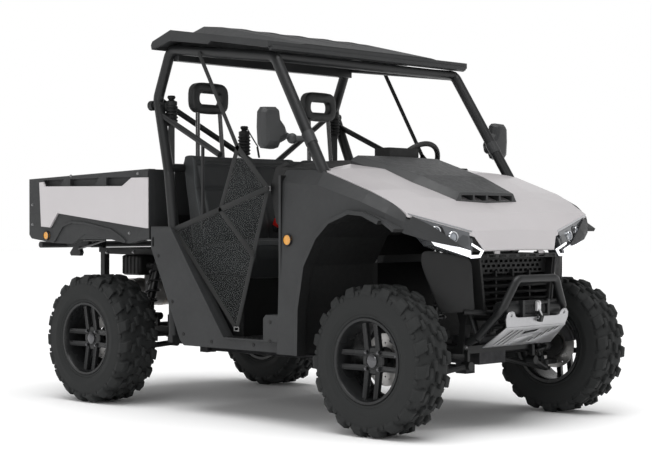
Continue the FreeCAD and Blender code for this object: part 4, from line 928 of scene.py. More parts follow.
class VEHICLE_OT_seats(bpy.types.Operator):
    """Builds the stuffed cushions, backrests and headrests with their seams"""
    bl_idname = "vehicle.seats"
    bl_label = "Seats"

    SHOULDER_Z, SHOULDER_TAPER = 1.27, 0.030
    GAP, SEAM_INSET, SEAM_WIDTH, SEAM_REACH = 0.012, 0.055, 0.011, 2.2
    FOAM, FINE_FOAM, PUFF_FRAMES = 0.011, 0.007, 20
    CUSHION = {
        "profile": [(-0.236, 0.696), (0.234, 0.696), (0.254, 0.766), (0.281, 0.780), (0.283, 0.826), (0.272, 0.856),
                    (0.246, 0.872), (-0.100, 0.846), (-0.200, 0.832), (-0.240, 0.790)],
        "seam": [(-0.16, 0.845), (0.05, 0.866), (0.225, 0.884)], "cross": [(0.04, 0.866)], "line": (0.284, 0.800),
        "cord": [(-0.20, 0.004, 0.838), (0.20, 0.004, 0.868), (0.276, 0.01, 0.858), (0.282, 0.06, 0.860)]}
    BACK = {
        "profile": [(-0.196, 0.820), (-0.092, 0.838), (-0.120, 0.960), (-0.170, 1.130), (-0.212, 1.282),
                    (-0.246, 1.316), (-0.294, 1.314), (-0.308, 1.276)],
        "seam": [(-0.095, 0.885), (-0.165, 1.135), (-0.198, 1.262)], "cross": [], "line": (-0.164, 1.135),
        "cord": [(-0.10, 0.0, 0.87), (-0.20, 0.004, 1.24), (-0.232, 0.05, 1.312)]}

    def puffed(self, base, voxel, cap, pressure):
        """Remeshes a form finely and swells it as stuffed vinyl, each point by the cap at most."""
        pick(base)
        base.data.remesh_voxel_size = voxel
        bpy.ops.object.voxel_remesh()
        modify(base, "SMOOTH", factor=0.5, iterations=4)
        start = [vertex.co.copy() for vertex in base.data.vertices]
        cloth = base.modifiers.new("puff", "CLOTH")
        cloth.settings.use_pressure = True
        cloth.settings.uniform_pressure_force = pressure
        cloth.settings.effector_weights.gravity = 0
        cloth.point_cache.frame_end = self.PUFF_FRAMES
        for step in range(self.PUFF_FRAMES):
            bpy.context.scene.frame_set(step + 1)
        pick(base)
        bpy.ops.object.modifier_apply(modifier=cloth.name)
        bpy.context.scene.frame_set(1)
        for vertex, home in zip(base.data.vertices, start):
            move = vertex.co - home
            if move.length > cap:
                vertex.co = home + move * (cap / move.length)
        modify(base, "SMOOTH", factor=0.5, iterations=3)
        return modify(base, "SUBSURF", levels=1, render_levels=1)

    def sew(self, piece, lines, depth):
        """Pulls the surface in along sewn lines."""
        spans = [(Vector(a), Vector(b)) for line in lines for a, b in zip(line, line[1:])]
        normals = [vertex.normal.copy() for vertex in piece.data.vertices]
        for vertex, normal in zip(piece.data.vertices, normals):
            near = nearest(vertex.co, spans)
            if near < self.SEAM_WIDTH * self.SEAM_REACH:
                vertex.co -= normal * depth * math.exp(-(near / self.SEAM_WIDTH) ** 2 * 1.6)
        piece.data.update()
        return piece

    def piping(self, name, target, points):
        """A sewn cord along the surface through points near it."""
        dense = []
        for a, b in zip(points, points[1:]):
            a, b = Vector(a), Vector(b)
            count = max(2, int((b - a).length / 0.03))
            dense += [a.lerp(b, k / count) for k in range(count)]
        dense.append(Vector(points[-1]))
        on = [target.closest_point_on_mesh(point)[1] for point in dense]
        return bar(name, on, 0.0032, smooth=True, sides=2)

    def pad(self, name, form, y0, y1, props):
        """A cushion or backrest between two sides, with its seams and its piping, from (x, z) outlines."""
        base = plate(name, [form["profile"]], y1 - y0 - self.GAP, Y * ((y0 + y1) / 2))
        for vertex in base.data.vertices:
            if vertex.co.z > self.SHOULDER_Z:
                vertex.co.y -= math.copysign(self.SHOULDER_TAPER, vertex.co.y - (y0 + y1) / 2)
        pad = self.puffed(base, self.FOAM, props.swell, props.pressure)
        places = 1 if y1 - y0 < 0.5 else 2
        wide = (y1 - y0) / places
        lines = [[(form["line"][0], y, form["line"][1]) for y in (y0, y1)]]
        for k in range(places):
            a, b = y0 + k * wide + self.SEAM_INSET, y0 + (k + 1) * wide - self.SEAM_INSET
            lines.append([(x, a, z) for x, z in form["seam"]] + [(x, b, z) for x, z in reversed(form["seam"])])
            lines += [[(x, a, z), (x, b, z)] for x, z in form["cross"]]
        self.sew(pad, lines, props.seam_depth)
        cord = form["cord"]
        edge = [(x, y1 - inset, z) for x, inset, z in cord] + [(x, y0 + inset, z) for x, inset, z in reversed(cord)]
        return pad, self.piping(name + "_piping", pad, edge)

    def headrest(self, name, y, props):
        """A padded ring round a wide window, on two posts."""
        loops = [rounded_rect(y, 1.609, 0.124, 0.078, 0.052), rounded_rect(y, 1.606, 0.078, 0.031, 0.024)]
        base = plate(name, loops, 0.050, Vector((-0.308, 0, 0)), Y, Z)
        pad = self.puffed(base, self.FINE_FOAM, 0.004, props.pressure)
        posts = [bar("post", [(-0.292, y + s * 0.088, 1.29), (-0.306, y + s * 0.076, 1.56)], 0.0115, sides=4)
                 for s in (-1, 1)]
        return pad, joined(name + "_posts", posts)

    def execute(self, context):
        props = context.scene.seat_sizes
        colour = tuple(context.scene.vehicle_colours.vinyl)
        vinyl = seat_vinyl("seat_vinyl", colour)
        black = seat_vinyl("headrest_vinyl", tint(colour, 0.35))
        trim = seat_vinyl("seat_piping", tint(colour, 2.2))
        steel = gloss("post_steel", (0.05, 0.05, 0.05), 0.25, 0.8)
        pads = []
        for side, y0, y1 in (("bench", -0.64, 0.192), ("driver", 0.204, 0.64)):
            for kind, form in (("cushion", self.CUSHION), ("back", self.BACK)):
                pad, cord = self.pad(side + "_" + kind, form, y0, y1, props)
                dress(cord, trim, "chassis")
                pads.append((pad, "seat_" + kind + "s"))
        for side, y in (("passenger", -0.413), ("driver", 0.413)):
            pad, posts = self.headrest(side + "_headrest", y, props)
            dress(posts, steel, "chassis")
            pads.append((pad, "headrests"))
        for pad, node in pads:
            dress(pad, black if node == "headrests" else vinyl, "chassis", 60)
            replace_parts(pad, node)
        return {"FINISHED"}


class VEHICLE_OT_nets(bpy.types.Operator):
    """Hangs the side nets with their hems, bands, straps and clips"""
    bl_idname = "vehicle.nets"
    bl_label = "Side nets"

    EDGE = [(0.218, 1.326), (0.432, 1.122), (0.212, 0.440), (-0.246, 0.926), (0.095, 1.024)]
    FOOT, HOOK = (0.330, 0.806), (-0.063, 1.806)
    PLANE, THICKNESS, RISE = 0.696, 0.0008, 0.12
    CUTS, FIRST_CUT, CUT_STEP = 14, (-0.21, 0.48), (0.045, 0.062)

    def sheet(self, props):
        """The mesh, cut into a grid and bowed out a little between its hems."""
        piece = plate("net", [self.EDGE], self.THICKNESS, Y * self.PLANE)
        for k in range(self.CUTS):
            for normal, first, step in zip((X, Z), self.FIRST_CUT, self.CUT_STEP):
                edit_all(piece)
                bpy.ops.mesh.bisect(plane_co=normal * (first + k * step), plane_no=normal)
                mode("OBJECT")
        corners = [Vector((x, 0, z)) for x, z in self.EDGE]
        spans = list(zip(corners, corners[1:] + corners[:1]))
        for vertex in piece.data.vertices:
            near = nearest(Vector((vertex.co.x, 0, vertex.co.z)), spans)
            vertex.co.y += props.belly * min(1.0, near / self.RISE) ** 0.7
        piece.data.update()
        return piece

    def band(self, start, end, width, lift=0.0):
        """A flat strap between two points of the net's plane."""
        a, b = Vector((start[0], 0, start[1])), Vector((end[0], 0, end[1]))
        along = (b - a).normalized()
        half = (b - a).length / 2 + width * 0.3
        return plate("hem", [rectangle(half, width / 2)], 0.004, (a + b) / 2 + Y * (self.PLANE + lift), along,
                     Y.cross(along), 0.0012)

    def execute(self, context):
        props = context.scene.net_sizes
        colour = tuple(context.scene.vehicle_colours.net)
        e = self.EDGE
        bands = [(a, b, props.hem) for a, b in zip(e, e[1:] + e[:1])]
        bands += [(e[3], e[4], props.hem, props.belly * 0.5), (e[4], e[1], props.hem, props.belly * 0.8),
                  (e[4], self.FOOT, props.hem, props.belly * 0.8), (self.HOOK, e[0], props.hem * 0.9)]
        clips = [plate("clip", [rectangle(0.019, 0.012), rectangle(0.013, 0.006)], 0.007,
                       Vector((x, self.PLANE, z)), bevel=0.001) for x, z in e[1:4]]
        masters = ((self.sheet(props), "side_net_", net_mesh(colour, props.cover), "net_mesh"),
                   (joined("hems", [self.band(*spec) for spec in bands]), "net_hems_",
                    webbing("strap_webbing", tint(colour, 0.35)), "net_mesh"),
                   (joined("buckles", clips), "net_buckles_", gloss("clip_steel", (0.2, 0.2, 0.2), 0.25, 0.9), None))
        area = abs(sum(a[0] * b[1] - b[0] * a[1] for a, b in zip(e, e[1:] + e[:1]))) / 2
        for side, copied in (("left", twin), ("right", mirrored)):
            pieces = [dress(copied(piece, name + side), material, "chassis")
                      for piece, name, material, slot in masters]
            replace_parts(pieces[0], "side_nets")
        for piece, *_ in masters:
            bpy.data.objects.remove(piece)
        return {"FINISHED"}


class VEHICLE_OT_lamps(bpy.types.Operator):
    """Adds the headlights' light strips, projectors and bezels, and the reflectors' rings"""
    bl_idname = "vehicle.lamps"
    bl_label = "Lamps"

    CORNERS = [Vector((1.296, 0.684, 1.000)), Vector((1.380, 0.318, 0.918)), Vector((1.402, 0.356, 0.797)),
               Vector((1.352, 0.562, 0.856))]
    OUT = Vector((0.070, 0.014, 0.004)).normalized()
    GRID = {"x_subdivisions": 60, "y_subdivisions": 36}

    def spot(self, across, down, out):
        """A point on the lamp's face by its shares across and down, raised by a distance."""
        a, b, c, d = self.CORNERS
        top = a + (b - a) * across
        low = d + (c - d) * across
        return top + (low - top) * down + self.OUT * out

    def cover(self, keeps, out, thickness):
        """A thin sheet over part of the lamp's face, cut from a fine grid by its shares across and down."""
        piece = primitive("grid", "cover", size=1, location=(0.5, 0.5, 0), **self.GRID)
        settle(piece)
        choose(piece, "FACE", lambda face: not keeps(face.center.x, face.center.y))
        bpy.ops.mesh.delete(type="FACE")
        mode("OBJECT")
        for vertex in piece.data.vertices:
            vertex.co = self.spot(vertex.co.x, vertex.co.y, out)
        tidy(piece)
        return tidy(modify(piece, "SOLIDIFY", thickness=thickness, offset=0))

    def execute(self, context):
        white = lamp_glow("light_strip", (0.95, 0.96, 1.0), 0.8)
        chrome = gloss("lamp_chrome", (0.55, 0.56, 0.58), 0.12, 1.0)
        glass = gloss("projector_glass", (0.28, 0.30, 0.33), 0.03)
        black = moulded_plastic("lamp_black", (0.010, 0.010, 0.010), 0.35)
        bowl = gloss("lamp_bowl", (0.16, 0.165, 0.175), 0.12, 0.6)
        hook = [(0.374, 0.7965), (0.306, 0.799), (0.278, 0.831), (0.366, 0.866), (0.366, 0.855), (0.298, 0.828),
                (0.313, 0.812), (0.374, 0.812)]
        strip = self.cover(lambda u, v: v > 0.76 and u < 0.95 or u < 0.055 and v > 0.5, 0.0048, 0.003)
        both_sides(strip, "light_strip", white)
        both_sides(plate("hook", [hook], 0.005, X * 1.409, Y, Z, 0.001), "light_hook", white)
        for name, material, out, thickness, keeps in (
                ("lamp_bezel", chrome, 0.0046, 0.002, lambda u, v: u < 0.97 and v < 0.055),
                ("lamp_bowl", bowl, 0.0016, 0.002, lambda u, v: 0.07 < u < 0.94 and 0.09 < v < 0.72),
                ("lamp_blade", chrome, 0.0052, 0.003,
                 lambda u, v: 0.08 < u < 0.26 and abs(v - 0.30 - u * 0.4) < 0.035),
                ("lamp_divider", black, 0.002, 0.006, lambda u, v: 0.44 < u < 0.48 and 0.18 < v < 0.72)):
            both_sides(self.cover(keeps, out, thickness), name, material)
        ring = [(0.019, 0.002), (0.021, 0.010), (0.025, 0.0115), (0.0275, 0.008), (0.0275, 0.0), (0.019, 0.0),
                (0.019, 0.002)]
        lens = [(0, 0.0125), (0.008, 0.0115), (0.014, 0.0090), (0.0195, 0.0050), (0.0195, 0.002), (0, 0.002)]
        for k, across in enumerate((0.30, 0.62)):
            centre = self.spot(across, 0.43, 0.0)
            rim, glazing = lathe("ring", ring, 36, centre, self.OUT), lathe("lens", lens, 36, centre, self.OUT)
            both_sides(rim, "projector_ring_%d" % k, chrome)
            both_sides(glazing, "projector_lens_%d" % k, glass)
        marker = [(-0.003, 0.0), (-0.002, 0.0024), (0.002, 0.0024), (0.004, -0.0035), (-0.003, -0.0035),
                  (-0.003, 0.0)]
        for place, radius, body, name in (((0.642, 0.7795, 0.878), 0.026, "chassis", "fender_marker_ring"),
                                          ((-1.317, 0.7135, 0.889), 0.024, "bed", "bed_marker_ring")):
            both_sides(lathe("ring", [(radius + r, a) for r, a in marker], 40, place), name, black, body)
        return {"FINISHED"}


class VEHICLE_OT_cab(bpy.types.Operator):
    """Adds the dashboard's fittings, belts, mirrors, floor mats and wheel hub"""
    bl_idname = "vehicle.cab"
    bl_label = "Cab fittings"

    BUCKLE_LEAN, COLUMN_SLOPE, REEL_RIBS = math.radians(24), math.radians(35), 6

    def reel(self, x, y, top):
        """A belt reel under its ribbed cover, with a knob on top."""
        outline = [(0, -0.130), (0.027, -0.130)]
        for k in range(self.REEL_RIBS):
            low = -0.128 + k * 0.0175
            outline += [(0.028, low), (0.0335, low + 0.004), (0.0335, low + 0.010), (0.028, low + 0.014)]
        outline += [(0.030, -0.018), (0.030, -0.004), (0.020, 0), (0.013, 0.004), (0.018, 0.010), (0.022, 0.018),
                    (0.018, 0.026), (0, 0.028)]
        return lathe("reel", [(r, top + a) for r, a in outline], 28, (x, y, 0), Z)

    def belts(self, black, strap, steel, red):
        """Three reels with the webbing that leaves them, and the buckles on their stalks."""
        for side, y in (("left", 0.612), ("right", -0.612), ("centre", -0.135)):
            if side == "centre":
                x, top = -0.330, 1.452
                foot = bar("foot", [(x, y, 1.335), (x + 0.02, y, 1.25)], 0.014)
                belt = bar("belt", [(-0.318, -0.125, 1.466), (-0.262, -0.132, 1.402), (-0.216, -0.142, 1.364)],
                           0.0035, smooth=True, sides=2)
                wide, place, metal = 0.007, (-0.214, -0.142, 1.334), black
                turn = Matrix.Rotation(math.radians(-14), 4, Y)
            else:
                x, top, out = -0.372, 1.590, math.copysign(0.650, y)
                foot = rounded_box("foot", (-0.410, min(y, out), 1.540), (x, max(y, out), 1.580), 0.004)
                belt = rounded_box("belt", (-0.396, y - 0.0025, 1.250), (-0.348, y + 0.0025, 1.472), 0.001, 1)
                wide, place, metal = 0.026, (x, y, 1.235), steel
                turn = Matrix.Rotation(math.radians(90), 4, Z)
            tongue = rounded_box("tongue", (-0.0015, -wide, -0.030), (0.0015, wide, 0.030), 0.0012, 2)
            moved(tongue, Matrix.Translation(place) @ turn)
            for label, pieces, material in (("belt_reel_", [self.reel(x, y, top), foot], black),
                                            ("belt_", [belt], strap), ("belt_tongue_", [tongue], metal)):
                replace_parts(fit(label + side, pieces, material), "seat_belts")
        stalks, heads, buttons = [], [], []
        for y in (-0.130, 0.198):
            stalks.append(bar("stalk", [(-0.150, y, 0.835), (-0.120, y, 0.885), (-0.096, y, 0.925)], 0.007, True))
            lean = Matrix.Translation((-0.085, y, 0.945)) @ Matrix.Rotation(self.BUCKLE_LEAN, 4, Y)
            heads.append(moved(rounded_box("head", (-0.019, -0.013, -0.034), (0.019, 0.013, 0.006), 0.004), lean))
            buttons.append(moved(rounded_box("button", (-0.0205, -0.0145, -0.004), (0.0205, 0.0145, 0.036), 0.004),
                                 lean))
        fit("buckle_stalks", stalks, black)
        fit("buckle_heads", heads, black)
        fit("buckle_buttons", buttons, red)

    def mirrors(self, silvered):
        """A domed case with a shoulder for its arm, the glass, and a clamp on the cage's front post."""
        outline = [(0.801, 1.440), (0.772, 1.412), (0.756, 1.378), (0.764, 1.346), (0.800, 1.330), (0.813, 1.308),
                   (0.842, 1.300), (0.902, 1.303), (0.921, 1.322), (0.927, 1.400), (0.924, 1.470), (0.905, 1.493),
                   (0.830, 1.496), (0.808, 1.482)]
        case = plate("case", [outline], 0.026, X * 0.606, Y, Z)
        choose(case, "FACE", lambda face: face.normal.x > SQUARE_ON)
        bpy.ops.mesh.inset(thickness=0.016, depth=0.018)
        bpy.ops.mesh.inset(thickness=0.018, depth=0.008)
        mode("OBJECT")
        rounded(case, 0.005, 3, 20)
        joint = (0.640, 0.742, 1.352)
        post = Vector((0.710, 0.696, 1.352))
        along = (Vector((0.461, 0.676, 1.752)) - Vector((0.835, 0.706, 1.152))).normalized()
        sleeve = [(0.0255, -0.032), (0.030, -0.030), (0.030, 0.030), (0.0255, 0.032), (0.0255, -0.032)]
        ball = primitive("uv_sphere", "ball", segments=24, ring_count=16, radius=0.025, location=joint)
        arm = [case, bar("arm", [(0.612, 0.772, 1.372), joint], 0.015, sides=4),
               bar("arm", [joint, (0.690, 0.706, 1.350)], 0.014, sides=4), settle(ball),
               lathe("sleeve", sleeve, 32, post, along)]
        both_sides(joined("mirror_case", arm), "mirror_case", bpy.data.materials["smooth_plastic"])
        for side in ("left", "right"):
            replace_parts(bpy.data.objects["mirror_case_" + side], "mirrors")
        face = [(0.822, 1.318), (0.836, 1.311), (0.898, 1.313), (0.912, 1.328), (0.918, 1.400), (0.915, 1.464),
                (0.900, 1.483), (0.834, 1.486), (0.817, 1.474), (0.812, 1.400)]
        both_sides(plate("glass", [face], 0.002, X * 0.592, Y, Z), "mirror_glass", silvered)

    def dashboard(self, black, steel, screen):
        """The screen and its hood, switches, vents, glove box lid, grab handle and shift lever."""
        vent = [(0.036, 0), (0.036, -0.012), (0.030, -0.016), (0.027, -0.006), (0.027, 0), (0.036, 0)]
        ring = [(0.0275, -0.014), (0.0275, -0.0175), (0.033, -0.0175), (0.034, -0.014), (0.0275, -0.014)]
        places = [(0.470, y, 1.190) for y in (0.30, 0.52)]
        knob = [(0, 0.030), (0.012, 0.027), (0.018, 0.016), (0.016, 0.002), (0.008, -0.004), (0, -0.004)]
        pieces = [rounded_box("bezel", (0.490, 0.000, 1.232), (0.504, 0.205, 1.334), 0.006)]
        pieces += [lathe("vent", vent, 28, place, X) for place in places]
        pieces.append(rounded_box("lid", (0.425, -0.560, 1.010), (0.450, -0.200, 1.130), 0.010))
        pieces += box_row("switch", 6, (0.448, -0.068, 1.150), (0.470, -0.044, 1.180), Y * 0.030, 0.003, 2)
        pieces.append(bar("lever", [(0.470, 0.150, 1.060), (0.400, 0.150, 1.110), (0.372, 0.150, 1.150)], 0.008, True))
        pieces.append(lathe("knob", knob, 24, (0.368, 0.150, 1.150), Z))
        pieces.append(bar("handle", [(0.462, -0.600, 1.205), (0.425, -0.590, 1.215), (0.425, -0.330, 1.215),
                                     (0.462, -0.320, 1.205)], 0.011, True, sides=4))
        fit("dash_fittings", pieces, black)
        dress(rounded_box("screen", (0.4885, 0.012, 1.244), (0.4925, 0.193, 1.322), 0.002, 2), screen, "chassis")
        fit("vent_rings", [lathe("ring", ring, 28, place, X) for place in places], steel)

    def execute(self, context):
        plastic = tuple(context.scene.vehicle_colours.plastic)
        black = moulded_plastic("fitting_plastic", tint(plastic, 0.35), 0.5)
        steel = gloss("buckle_steel", (0.45, 0.45, 0.46), 0.2, 1.0)
        self.belts(black, webbing("belt_webbing", tint(plastic, 0.9)), steel,
                   moulded_plastic("buckle_red", (0.55, 0.015, 0.012), 0.35))
        self.mirrors(gloss("mirror_glass", (0.82, 0.84, 0.86), 0.02, 1.0))
        self.dashboard(black, steel, gloss("screen_glass", (0.010, 0.012, 0.015), 0.06))

        mats = []
        pitch = 0.52 / 12
        for low in (-0.62, 0.10):
            y = low + pitch / 2
            mats += box_row("rib", 12, (0.215, y - 0.009, 0.3985), (0.690, y + 0.009, 0.4035), Y * pitch, 0.002, 1)
        for y in (-0.692, 0.692):
            mats += box_row("tread", 9, (0.165, y - 0.026, 0.3985), (0.179, y + 0.026, 0.403), X * 0.034, 0.0015, 1)
        fit("floor_ribs", mats, black)

        axis = Vector((math.cos(self.COLUMN_SLOPE), 0, -math.sin(self.COLUMN_SLOPE)))
        hub = [(0, -0.020), (0.030, -0.018), (0.046, -0.010), (0.052, 0.004), (0.050, 0.030), (0.041, 0.038),
               (0, 0.038)]
        dress(lathe("hub", hub, 40, (0.395, 0.413, 1.240), axis), black, "steering_wheel")
        return {"FINISHED"}


class VEHICLE_OT_bed(bpy.types.Operator):
    """Adds the bed's floor ribs, the tailgate's ribs and handle, and the fittings under the bed"""
    bl_idname = "vehicle.bed"
    bl_label = "Bed fittings"

    def execute(self, context):
        body = bpy.data.materials["grained_plastic"]
        black = moulded_plastic("bed_black", tint(tuple(context.scene.vehicle_colours.plastic), 0.35), 0.5)
        steel = brushed_metal("rod_steel", (0.10, 0.10, 0.10), 0.4, (60, 1, 1))
        ribs = box_row("rib", 9, (-1.415, -0.58, 0.902), (-0.500, -0.54, 0.911), Y * 0.14, 0.004, 2)
        ribs += box_row("rib", 3, (-0.486, -0.51, 0.96), (-0.4785, -0.33, 1.19), Y * 0.42, 0.003, 2)
        fit("bed_ribs", ribs, body, "bed")
        gate = box_row("rib", 2, (-1.4895, -0.60, 0.950), (-1.481, -0.24, 1.150), Y * 0.84, 0.006)
        gate.append(rounded_box("rib", (-1.4895, -0.62, 1.168), (-1.481, 0.62, 1.188), 0.004))
        fit("gate_ribs", gate, body, "tailgate")
        cup = [[(-0.085, 1.030), (0.085, 1.030), (0.085, 1.110), (-0.085, 1.110)],
               [(-0.070, 1.044), (0.070, 1.044), (0.070, 1.096), (-0.070, 1.096)]]
        pull = [(-1.488, -0.068, 1.066), (-1.497, -0.050, 1.066), (-1.497, 0.050, 1.066), (-1.488, 0.068, 1.066)]
        fit("gate_handle", [plate("cup", cup, 0.010, X * -1.486, Y, Z, 0.003), bar("pull", pull, 0.007, True)], black,
            "tailgate")
        rods = []
        for y in (-0.440, 0.440):
            rods.append(bar("rod", [(-1.405, y, 0.860), (-1.150, y, 0.862)], 0.006))
            rods.append(bar("rod", [(-1.379, y, 0.812), (-1.135, y, 0.862)], 0.006))
        fit("bed_rods", rods, steel, "bed")
        return {"FINISHED"}


class VEHICLE_OT_driveline(bpy.types.Operator):
    """Adds the engine's covers, pipes and boots, the coil springs and the muffler's fittings"""
    bl_idname = "vehicle.driveline"
    bl_label = "Engine, springs and boots"

    COIL_RADIUS, COIL_WIRE = 0.037, 0.0058

    def coil(self, low, high):
        """A smooth coil in place of the plain one."""
        low, high = Vector(low), Vector(high)
        axis = high - low
        unit = axis.normalized()
        start = low + axis * 0.10 + unit * 0.014
        rise = unit * (axis.length * 0.76 - 0.020)
        out = unit.orthogonal().normalized() * self.COIL_RADIUS
        return bar("coil", helix(start, out, unit.cross(out), rise, 6, 20), self.COIL_WIRE, sides=2)

    def shaft_boots(self):
        """A bellows at each end of each half shaft, wide at the outer ends."""
        boots = []
        for x, reach in ((FRONT_X, 0.548), (REAR_X, 0.500)):
            for side in (-1, 1):
                for low, high, first, last in ((0.105, 0.185, 0.036, 0.020), (reach - 0.085, reach, 0.019, 0.030)):
                    outline = [(0.0145, low)]
                    for k in range(5):
                        wide, at = first + (last - first) * k / 4, low + (high - low) * k / 4
                        outline += [(wide - 0.006, at), (wide, at + 0.006)]
                    outline += [(0.0145, high + 0.010), (0.0145, low)]
                    boots.append(lathe("boot", [(r, side * a) for r, a in outline], 28, (x, 0, AXLE_Z)))
        return boots

    def execute(self, context):
        grey = cast_metal("cover_alloy", (0.16, 0.16, 0.165), 0.5)
        black = moulded_plastic("cover_black", (0.012, 0.012, 0.012), 0.5)
        steel = brushed_metal("pipe_steel", (0.30, 0.27, 0.24), 0.4)
        boot = soft_rubber("boot_rubber", (0.010, 0.010, 0.010))
        coils = [self.coil((x, side * 0.430, low_z), (x, side * high_y, high_z))
                 for x, low_z, high_y, high_z in ((1.207, 0.288, 0.300, 0.786), (-0.839, 0.309, 0.290, 0.782))
                 for side in (-1, 1)]
        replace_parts(fit("coil_springs", coils, powder_coat("spring_coat", (0.02, 0.02, 0.021), 0.3)),
                    "springs")
        fit("shaft_boots", self.shaft_boots(), boot)

        first = [(0, -0.262), (0.030, -0.262), (0.034, -0.256), (0.088, -0.252), (0.118, -0.240), (0.124, -0.222),
                 (0.124, -0.205), (0, -0.205)]
        second = [(0, -0.258), (0.026, -0.258), (0.030, -0.250), (0.070, -0.247), (0.094, -0.236), (0.099, -0.205),
                  (0, -0.205)]
        fit("drive_covers", [lathe("cover", first, 48, (-0.480, 0, 0.560)),
                             lathe("cover", second, 48, (-0.655, 0, 0.540))], black)
        oil_filter = [(0, 0.250), (0.030, 0.248), (0.036, 0.242), (0.036, 0.190), (0.032, 0.176), (0, 0.176)]
        castings = box_row("fin", 8, (-0.770, 0.020, 0.640), (-0.640, 0.188, 0.646), Z * 0.013, 0.002, 1)
        castings.append(rounded_box("head", (-0.775, -0.030, 0.745), (-0.600, 0.170, 0.778), 0.010))
        castings.append(lathe("filter", oil_filter, 32, (-0.560, 0, 0.520)))
        castings += box_row("rib", 5, (-0.446, 0.176, 0.410), (-0.434, 0.190, 0.600), X * -0.06, 0.003, 1)
        fit("engine_castings", castings, grey)

        exhaust = [(-0.740, 0.100, 0.640), (-0.860, 0.120, 0.620), (-1.000, 0.150, 0.560), (-1.100, 0.120, 0.545),
                   (-1.178, 0.080, 0.560)]
        tail = [(-1.250, -0.168, 0.560), (-1.250, -0.205, 0.560), (-1.275, -0.222, 0.556), (-1.345, -0.222, 0.550)]
        band = [(0.0795, -0.010), (0.0825, -0.009), (0.0825, 0.009), (0.0795, 0.010), (0.0795, -0.010)]
        pipes = [bar("exhaust", exhaust, 0.021, True, sides=5), bar("tail", tail, 0.020, True, sides=5)]
        pipes += [lathe("band", [(r, y + a) for r, a in band], 48, (-1.250, 0, 0.560)) for y in (-0.10, 0.05, 0.15)]
        fit("exhaust_pipes", pipes, steel)

        box = [rounded_box("box", (-1.108, -0.350, 0.668), (-0.945, -0.215, 0.782), 0.018, 3)]
        box += box_row("rib", 5, (-1.093, -0.356, 0.676), (-1.083, -0.209, 0.776), X * 0.031, 0.003, 1)
        box.append(bar("neck", [(-0.960, -0.280, 0.720), (-0.880, -0.240, 0.700), (-0.800, -0.160, 0.700)], 0.028,
                       True, sides=5))
        fit("air_box", box, black)
        intake = [(-0.400, 0.060, 0.700), (-0.350, 0.060, 0.745), (-0.345, -0.060, 0.760), (-0.420, -0.120, 0.752),
                  (-0.520, -0.120, 0.750)]
        hose = [(-0.400, -0.150, 0.450), (-0.250, -0.180, 0.372), (0.200, -0.190, 0.360), (0.700, -0.190, 0.362)]
        fit("intake_hoses", [bar("intake", intake, 0.030, True, sides=4), bar("hose", hose, 0.012, True)], boot)
        return {"FINISHED"}


